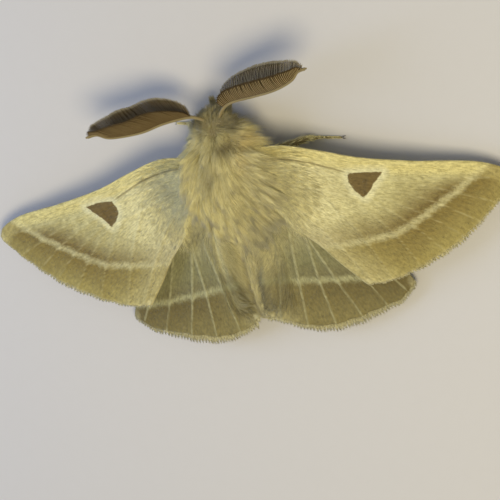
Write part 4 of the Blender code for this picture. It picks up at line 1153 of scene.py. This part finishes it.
def antennaStem(side, material):
    spec = antennae
    path = smoothCurve(spec["route"][side], spec["stemPoints"])
    t = np.linspace(0, 1, spec["stemPoints"])
    thick, thin = spec["stemRadius"]
    # each of its joints swells a little where two branches leave it, and the hooked tip is stouter
    joint = 1 + 0.05 * np.cos(t * spec["branches"] * 2 * math.pi)
    girth = (thick + (thin - thick) * t) * joint * (1 + 0.25 * smoothStep(0.88, 0.95, t))
    girth = girth * np.where(t > 0.985, 0.6, 1.0)
    # the stout first joint sits in the head's hair
    inner = path[0] + (np.array(body["head"]["middle"]) - path[0]) * 0.45
    first = np.linspace(0, 1, 5, endpoint=False)
    path = np.vstack([inner + (path[0] - inner) * first[:, None], path])
    girth = np.concatenate([0.24 + 0.04 * np.sin(first * math.pi), girth])
    stem = tubeMesh("antenna_%s_stem" % side, path, girth, 16)
    bpy.ops.object.shade_smooth()
    wear(stem, material)
    setAttribute(stem.data, "along", np.zeros(len(stem.data.vertices)))
    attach(stem, "root")
    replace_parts(stem, "antenna_" + side)


def branchArc(start, ahead, tipWay, share, tilt, draw):
    # the last branches keep the tip's own way, whatever the hook does
    late = smoothStep(0.66, 0.86, share)
    along = unit(ahead * (1 - late) + tipWay * late)
    forward = np.cross((0, 0, 1.0), along)
    forward = unit(forward * np.sign(forward[1]))
    up = np.cross(forward, along)
    up = up * np.sign(up[2])
    turn = math.radians(tilt + draw.normal(0, 0.4))
    out = forward * math.cos(turn) + up * math.sin(turn)
    size = branchLength(share) * draw.uniform(0.985, 1.015)
    s = np.linspace(0, 1, antennae["branchPoints"])[:, None]
    arc = start + out * size * s + along * size * (antennae["lean"] + 0.3 * late) * s ** 1.4
    # its tip droops a little
    return arc - up * 0.1 * size * 0.3 * s ** 3, along, out, size


def branchLashes(arc, along, out, size, draw):
    # lashes along both edges of a branch, which close the comb to the eye, and the share of it where each is
    lashes, places = [], []
    last = len(arc) - 1
    for share in np.linspace(0.03, 0.97, max(8, int(size * antennae["lashesPerMm"]))):
        index = min(int(share * last), last - 1)
        at = arc[index] + (arc[index + 1] - arc[index]) * (share * last - index)
        for way in (-1, 1):
            span = antennae["lashLength"] * draw.uniform(0.85, 1.15)
            lashes.append((at, at + (along * way * 0.85 + out * 0.4) * span))
            places.append(share)
    return lashes, places


def combMarks(pale, isLash, draw):
    n = len(pale)
    return {"shade": draw.uniform(-1, 1, n), "pale": np.array(pale), "lash": np.full(n, isLash)}


def antenna(side, stemScales, combHorn):
    spec = antennae
    antennaStem(side, stemScales)
    draw = np.random.default_rng(spec["seed"][side])
    fine = smoothCurve(spec["route"][side], 2001)
    ahead = unit(np.gradient(fine, axis=0))
    tipWay = unit(fine[-1] - fine[1200])
    near, far = spec["reach"]
    branches, outs, pale, lashes, lashOuts, lashPale = [], [], [], [], [], []
    for row, tilt in spec["tilt"].items():
        for i in range(spec["branches"]):
            share = i / (spec["branches"] - 1)
            k = int((near + (far - near) * share) * 2000)
            arc, along, out, size = branchArc(fine[k], ahead[k], tipWay, share, tilt, draw)
            branches.append(arc)
            outs.append(np.cross(out, along))
            pale.append(spec["paleTips"][row])
            more, places = branchLashes(arc, along, out, size, draw)
            lashes += more
            lashOuts += [outs[-1]] * len(more)
            lashPale += [pale[-1] * smoothStep(0.86, 0.95, at) for at in places]
    marks = combMarks(pale, 0.0, draw)
    shares = np.tile(np.linspace(0, 0.95, spec["branches"]), 2)
    patch = columns(shares, np.repeat([0.1, 0.6], spec["branches"]))
    width = np.full(len(branches), spec["branchWidth"])
    growTufts("antenna_%s_comb" % side, np.array(branches), np.array(outs), width, 0.9, marks, patch,
              combHorn, taper=0.7)
    marks = combMarks(lashPale, 1.0, draw)
    patch = draw.uniform(0, 1, (len(lashes), 2))
    width = np.full(len(lashes), spec["lashWidth"])
    growTufts("antenna_%s_lashes" % side, np.array(lashes), np.array(lashOuts), width, 0.8, marks, patch,
              combHorn)


# Materials


class Look:
    # a material, and the helpers that its nodes are made with

    def __init__(self, name, roughness, colour, **settings):
        # colour is the first of its layers
        self.now = colour
        self.made = bpy.data.materials.new(name)
        self.made.use_nodes = True
        self.tree = self.made.node_tree
        self.shader = self.tree.nodes["Principled BSDF"]
        self.shader.inputs["Roughness"].default_value = roughness
        for key, value in settings.items():
            self.shader.inputs[key.replace("_", " ")].default_value = value

    def add(self, kind, settings=(), links=()):
        return addNode(self.tree, kind, settings, links)

    def give(self, socket, value):
        # value is a hex colour, a number or another node's socket
        if isinstance(value, str):
            socket.default_value = linear(value)
        elif isinstance(value, (int, float)):
            socket.default_value = value
        else:
            self.tree.links.new(value, socket)

    def mix(self, share, first, second):
        node = self.add("ShaderNodeMix", {"data_type": "RGBA"})
        for number, value in ((0, share), (6, first), (7, second)):
            self.give(node.inputs[number], value)
        return node.outputs[2]

    def ramp(self, value, low, high, start=0.0, end=1.0):
        settings = {"interpolation_type": "SMOOTHSTEP", 1: low, 2: high, 3: start, 4: end}
        return self.add("ShaderNodeMapRange", settings, {0: value}).outputs[0]

    def calc(self, kind, first, second):
        node = self.add("ShaderNodeMath", {"operation": kind})
        self.give(node.inputs[0], first)
        self.give(node.inputs[1], second)
        return node.outputs[0]

    def times(self, first, second):
        return self.calc("MULTIPLY", first, second)

    def plus(self, first, second):
        return self.calc("ADD", first, second)

    def minus(self, first, second):
        return self.calc("SUBTRACT", first, second)

    def mark(self, name):
        return self.add("ShaderNodeAttribute", {"attribute_name": name}).outputs["Fac"]

    def noise(self, sizeMm, detail=2.0, rough=0.5):
        # noise whose grain is about sizeMm across
        where = self.add("ShaderNodeTexCoord").outputs["Object"]
        settings = {"Scale": 1000 / sizeMm, "Detail": detail, "Roughness": rough}
        return self.add("ShaderNodeTexNoise", settings, {"Vector": where}).outputs["Fac"]

    def lieNoise(self, acrossMm, alongMm, detail=2.0):
        # streaks that run with the scales, this far across and along
        across = self.calc("DIVIDE", self.mark("lieAcross"), acrossMm)
        along = self.calc("DIVIDE", self.mark("lieAlong"), alongMm)
        where = self.add("ShaderNodeCombineXYZ", {}, {"X": across, "Y": along}).outputs[0]
        settings = {"Scale": 1.0, "Detail": detail}
        return self.add("ShaderNodeTexNoise", settings, {"Vector": where}).outputs["Fac"]

    def over(self, share, colour):
        # lays a colour over the one that the material has so far
        self.now = self.mix(share, self.now, colour)

    def paint(self, value=None):
        # value makes the colour so far lighter or darker
        colour = self.now
        if value is not None:
            colour = self.add("ShaderNodeHueSaturation", {}, {"Color": colour, "Value": value}).outputs[0]
        self.tree.links.new(colour, self.shader.inputs["Base Color"])

    def bump(self, height, strength, depthMm):
        settings = {"Strength": strength, "Distance": depthMm * place["metresPerMm"]}
        bump = self.add("ShaderNodeBump", settings, {"Height": height}).outputs[0]
        self.tree.links.new(bump, self.shader.inputs["Normal"])


foreTone = {"root": "#efe7ae", "straw": "#c6be84", "strip": "#dccf86", "band": "#6d5a28", "line": "#c4bc88",
            "inner": "#e6dfa8", "outer": "#7d6c34", "outerPale": "#a69958", "edge": "#e0d8a6",
            "vein": "#cbc28e", "speck": "#8d8148", "spot": "#6d5b30", "halo": "#ddd8a8",
            "rootReach": 13.0, "bandReach": 4.0, "stripShare": 0.8, "veinShare": 0.22}
hindTone = {"root": "#efe7ae", "straw": "#87845a", "strip": "#87845a", "band": "#77704a", "line": "#aeab7c",
            "inner": "#dad29b", "outer": "#6b5f34", "outerPale": "#857a48", "edge": "#d6cf9f",
            "vein": "#b9b588", "speck": "#6c6640", "spot": "#63532f", "halo": "#87845a",
            "rootReach": 8.5, "bandReach": 2.6, "stripShare": 0.0, "veinShare": 0.5}


def wingMaterial(name, tone):
    # overlapping chitin scales: dull, powdery and slightly silky where the light grazes them
    look = Look(name, 0.7, tone["root"], Sheen_Weight=0.2, Sheen_Roughness=0.4, Specular_IOR_Level=0.25)
    line, run = look.mark("lineDist"), look.mark("lineRun")
    spot, vein, fold = look.mark("spotDist"), look.mark("veinDist"), look.mark("foldDist")
    costa, margin, root = look.mark("costaDist"), look.mark("marginDist"), look.mark("rootDist")
    along, shade = look.mark("along"), look.mark("shade")
    wobble = look.times(look.minus(look.noise(0.35, 4, 0.7), 0.5), 0.8)
    # small teeth where the line crosses the veins
    teeth = look.times(look.ramp(vein, 0.35, 0.0), 0.12)
    lineAt = look.minus(look.plus(line, wobble), teeth)
    cloud = look.ramp(look.noise(2.4, 3), 0.35, 0.7)
    # the ground: paler at the root, clouded, with single darker scales
    look.over(look.ramp(root, 2.5, tone["rootReach"]), tone["straw"])
    look.over(look.times(cloud, 0.3), tone["speck"])
    # a paler stretch along the inner margin
    inner = look.ramp(look.mark("lieAcross"), 9.5, 12.2)
    look.over(look.times(inner, 0.8), tone["inner"])
    # a dark band that deepens up to the pale line, strongest in the line's first half
    near = look.calc("POWER", look.ramp(lineAt, -tone["bandReach"], -0.05), 1.5)
    bandShare = look.times(near, look.ramp(run, 0.45, 0.95, 1.0, 0.45))
    look.over(look.times(bandShare, look.ramp(costa, 0.7, 2.6)), tone["band"])
    # beyond the line: dark next to it, paler towards the fringe and the inner margin
    beyond = look.mix(look.ramp(line, 0.3, 4.0), tone["outer"], tone["outerPale"])
    beyond = look.mix(look.ramp(run, 0.45, 0.95, 0.0, 0.75), beyond, tone["outerPale"])
    beyond = look.mix(look.times(inner, 0.3), beyond, tone["inner"])
    beyond = look.mix(look.times(cloud, 0.3), beyond, tone["outer"])
    look.over(look.ramp(lineAt, -0.1, 0.2), beyond)
    # the pale line, and a paler edge before the fringe
    offLine = look.calc("ABSOLUTE", lineAt, 0.0)
    look.over(look.ramp(offLine, 0.55, 0.0, 0.0, 0.8), tone["line"])
    look.over(look.ramp(margin, 0.7, 0.35, 0.0, 0.3), tone["edge"])
    # the strip along the costa, and the thin fold behind it
    costal = look.ramp(costa, 1.5, 0.7, 0.0, tone["stripShare"])
    costal = look.times(costal, look.ramp(lineAt, -0.5, 0.5, 1.0, 0.45))
    look.over(costal, tone["strip"])
    look.over(look.ramp(fold, 0.13, 0.03, 0.0, 0.65), tone["band"])
    look.over(look.ramp(vein, 0.12, 0.04, 0.0, tone["veinShare"]), tone["vein"])
    look.over(look.ramp(look.lieNoise(0.16, 0.9), 0.42, 0.7, 0.0, 0.45), tone["speck"])
    # the spot and its pale surround
    spotAt = look.plus(spot, look.times(wobble, 0.25))
    look.over(look.ramp(spotAt, 0.8, 0.1, 0.0, 0.75), tone["halo"])
    look.over(look.ramp(spotAt, 0.05, -0.05), tone["spot"])
    # fringe hairs pale towards their tips
    tips = look.times(look.ramp(along, 0.25, 0.9, 0.0, 0.85), look.ramp(margin, -0.05, -0.2))
    look.over(tips, tone["edge"])
    # a powdery grain: scales about 0.3 mm across in clumps, in streaks that follow the lie
    grain = look.plus(look.noise(0.28, 4, 0.75), look.lieNoise(0.2, 0.6, 3))
    grain = look.times(look.minus(grain, 1.0), 0.75)
    look.paint(look.plus(look.plus(1.0, grain), look.times(shade, 0.14)))
    height = look.plus(look.noise(0.08, 2, 0.6), look.times(look.lieNoise(0.07, 0.5), 1.2))
    look.bump(height, 0.45, 0.05)
    return look.made


def hairMaterial(name, rootHex, tipHex):
    # long hair-like scales, dull and soft: darker at the root, paler and silky at the tip
    look = Look(name, 0.6, rootHex, Sheen_Weight=0.25, Sheen_Roughness=0.4, Specular_IOR_Level=0.25)
    along, shade = look.mark("along"), look.mark("shade")
    look.over(look.ramp(along, 0.0, 0.7), tipHex)
    # ochre, painted pale and bright on the right shoulder and dome as painted light
    look.over(look.times(look.mark("ochre"), 0.75), "#efd989")
    # brown, the coat's own colour, which is also painted shade in the whorl's gap, the partings beside the
    # head and the gaps at the end of the dome
    look.over(look.times(look.mark("brown"), 0.85), "#6a5e34")
    streak = look.times(look.minus(look.noise(0.8, 2), 0.5), 0.15)
    look.paint(look.plus(look.plus(1.0, look.times(shade, 0.15)), streak))
    return look.made


def skinMaterial():
    # the cuticle under the coat, in the colours of the hair roots
    look = Look("dull_cuticle", 0.65, "#6f6238", Specular_IOR_Level=0.3)
    look.over(look.noise(0.6, 3), "#8d8054")
    # the coat's marks again: ochre, which also carries painted light, and brown, which also carries painted
    # shade
    look.over(look.times(look.mark("ochre"), 0.5), "#a08840")
    look.over(look.times(look.mark("brown"), 0.8), "#5f4f2c")
    look.paint()
    look.bump(look.noise(0.08, 2), 0.6, 0.05)
    return look.made


def eyeMaterial():
    # a compound eye: wet-looking dark cuticle, with facets 0.06 mm across that show as a fine mesh
    look = Look("compound_eye_cuticle", 0.16, "#0b0806", Coat_Weight=0.5, Coat_Roughness=0.08)
    where = look.add("ShaderNodeTexCoord").outputs["Object"]
    settings = {"Scale": 1000 / 0.06, "feature": "DISTANCE_TO_EDGE"}
    cells = look.add("ShaderNodeTexVoronoi", settings, {"Vector": where}).outputs[0]
    look.over(look.ramp(cells, 0.0, 0.25), "#2c2016")
    look.paint()
    look.bump(cells, 0.4, 0.02)
    return look.made


def clawMaterial():
    # smooth dark horn
    look = Look("polished_horn_claw", 0.3, "#1c120a")
    look.over(look.noise(0.1, 2), "#3a2614")
    look.paint()
    return look.made


def stemMaterial():
    # cream scales closely laid on the antenna's stem
    look = Look("cream_stem_scales", 0.6, "#6c5e36", Sheen_Weight=0.2, Specular_IOR_Level=0.3)
    look.over(look.noise(0.12, 3, 0.6), "#9c8c5c")
    look.paint()
    look.bump(look.noise(0.1, 2), 0.5, 0.04)
    return look.made


def combMaterial():
    # the branches: brown horn, the outer row paler and with pale scales at its tips
    look = Look("brown_comb_cuticle", 0.8, "#8f7a50", Specular_IOR_Level=0.1)
    along, pale, shade = look.mark("along"), look.mark("pale"), look.mark("shade")
    look.over(look.noise(0.3, 2), "#b09c70")
    look.over(look.times(pale, 0.6), "#cabb95")
    lash = look.mix(pale, "#4c3b20", "#82704c")
    look.over(look.mark("lash"), lash)
    # the branches' ends are pale, and so are the lashes there from root to tip
    end = look.calc("MAXIMUM", look.ramp(along, 0.82, 1.0), look.mark("lash"))
    look.over(look.times(end, pale), "#b0a684")
    look.paint(look.plus(1.0, look.times(shade, 0.12)))
    return look.made


# Stage: floor, light and camera


stage = {"floor": "#c9c7c2", "fleck": "#b9b7b1", "sky": "#e8ecf2", "skyStrength": 0.4,
         "lamps": [("keyLamp", (0.068, -0.022, 0.165), 0.085, 0.225, "#fff0cc"),
                   ("fillLamp", (-0.125, 0.03, 0.085), 0.11, 0.125, "#b4caff")]}


def makeStage():
    bpy.ops.mesh.primitive_plane_add(size=3.0)
    floor = bpy.context.object
    floor.name = "floor"
    look = Look("pale_matte_paper", 0.9, stage["floor"])
    look.over(look.times(look.noise(1.2, 3), 0.12), stage["fleck"])
    look.paint()
    floor.data.materials.append(look.made)
    for name, where, size, power, tint in stage["lamps"]:
        lamp = bpy.data.lights.new(name, "AREA")
        lamp.shape = "DISK"
        lamp.size = size
        lamp.energy = power
        lamp.color = linear(tint)[:3]
        holder = bpy.data.objects.new(name, lamp)
        bpy.context.scene.collection.objects.link(holder)
        holder.location = where
        holder.rotation_mode = "QUATERNION"
        holder.rotation_quaternion = (-Vector(where)).to_track_quat("-Z", "Y")
    world = bpy.data.worlds.new("softSky")
    bpy.context.scene.world = world
    world.use_nodes = True
    sky = world.node_tree.nodes["Background"]
    sky.inputs["Color"].default_value = linear(stage["sky"])
    sky.inputs["Strength"].default_value = stage["skyStrength"]
    bpy.context.scene.view_settings.view_transform = "Standard"


# Found by fitting the wings' outlines: nearly overhead, tilted to the moth's right and to its head
lens = {"tiltRight": 25.331, "tiltAhead": 15.196, "roll": -12.686, "far": 215.157,
        "target": (0.311, -5.182, 2.5), "focal": 180.0, "sensor": 36.0}


def makeCamera():
    east, north = (math.sin(math.radians(lens[key])) for key in ("tiltRight", "tiltAhead"))
    back = Vector((east, north, math.sqrt(1 - east * east - north * north)))
    level = Vector((0, 1, 0)).cross(back).normalized()
    upright = back.cross(level)
    turn = math.radians(lens["roll"])
    right = level * math.cos(turn) + upright * math.sin(turn)
    up = upright * math.cos(turn) - level * math.sin(turn)
    data = bpy.data.cameras.new("camera")
    data.sensor_width = lens["sensor"]
    data.lens = lens["focal"]
    data.clip_start, data.clip_end = 0.01, 10.0
    camera = bpy.data.objects.new("camera", data)
    bpy.context.scene.collection.objects.link(camera)
    spot = Matrix((right, up, back)).transposed().to_4x4()
    spot.translation = Vector(inFrame(lens["target"])) + back * lens["far"] * place["metresPerMm"]
    camera.matrix_world = spot
    bpy.context.scene.camera = camera


def makeMoth():
    wings = {"forewing": (forewing, wingMaterial("straw_wing_scales", foreTone)),
             "hindwing": (hindwing, wingMaterial("olive_wing_scales", hindTone))}
    coatHair = hairMaterial("silky_straw_hair", "#b4a869", "#e4da9c")
    headHair = hairMaterial("short_brown_hair", "#86754a", "#c4b784")
    for side in ("right", "left"):
        for kind, (spec, scales) in wings.items():
            wing = Wing(kind, spec, side)
            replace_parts(wingMembrane(wing, scales), wing.name)
            wingCoat(wing, scales)
    print("wings done")
    bodySkin(skinMaterial())
    upperFur("mantle", coatHair, 5)
    upperFur("collar", coatHair, 4)
    breastCoat(coatHair)
    abdomenCoat(coatHair)
    faceCoat(headHair)
    limbCoat("leg", legPaths(), coatHair, 9)
    limbCoat("palp", palpPaths(), headHair, 10)
    claws(clawMaterial())
    print("body done")
    eyePieces(eyeMaterial())
    stemScales, combHorn = stemMaterial(), combMaterial()
    for side in ("right", "left"):
        antenna(side, stemScales, combHorn)
    print("head done")


makeStage()
makeCamera()
makeMoth()
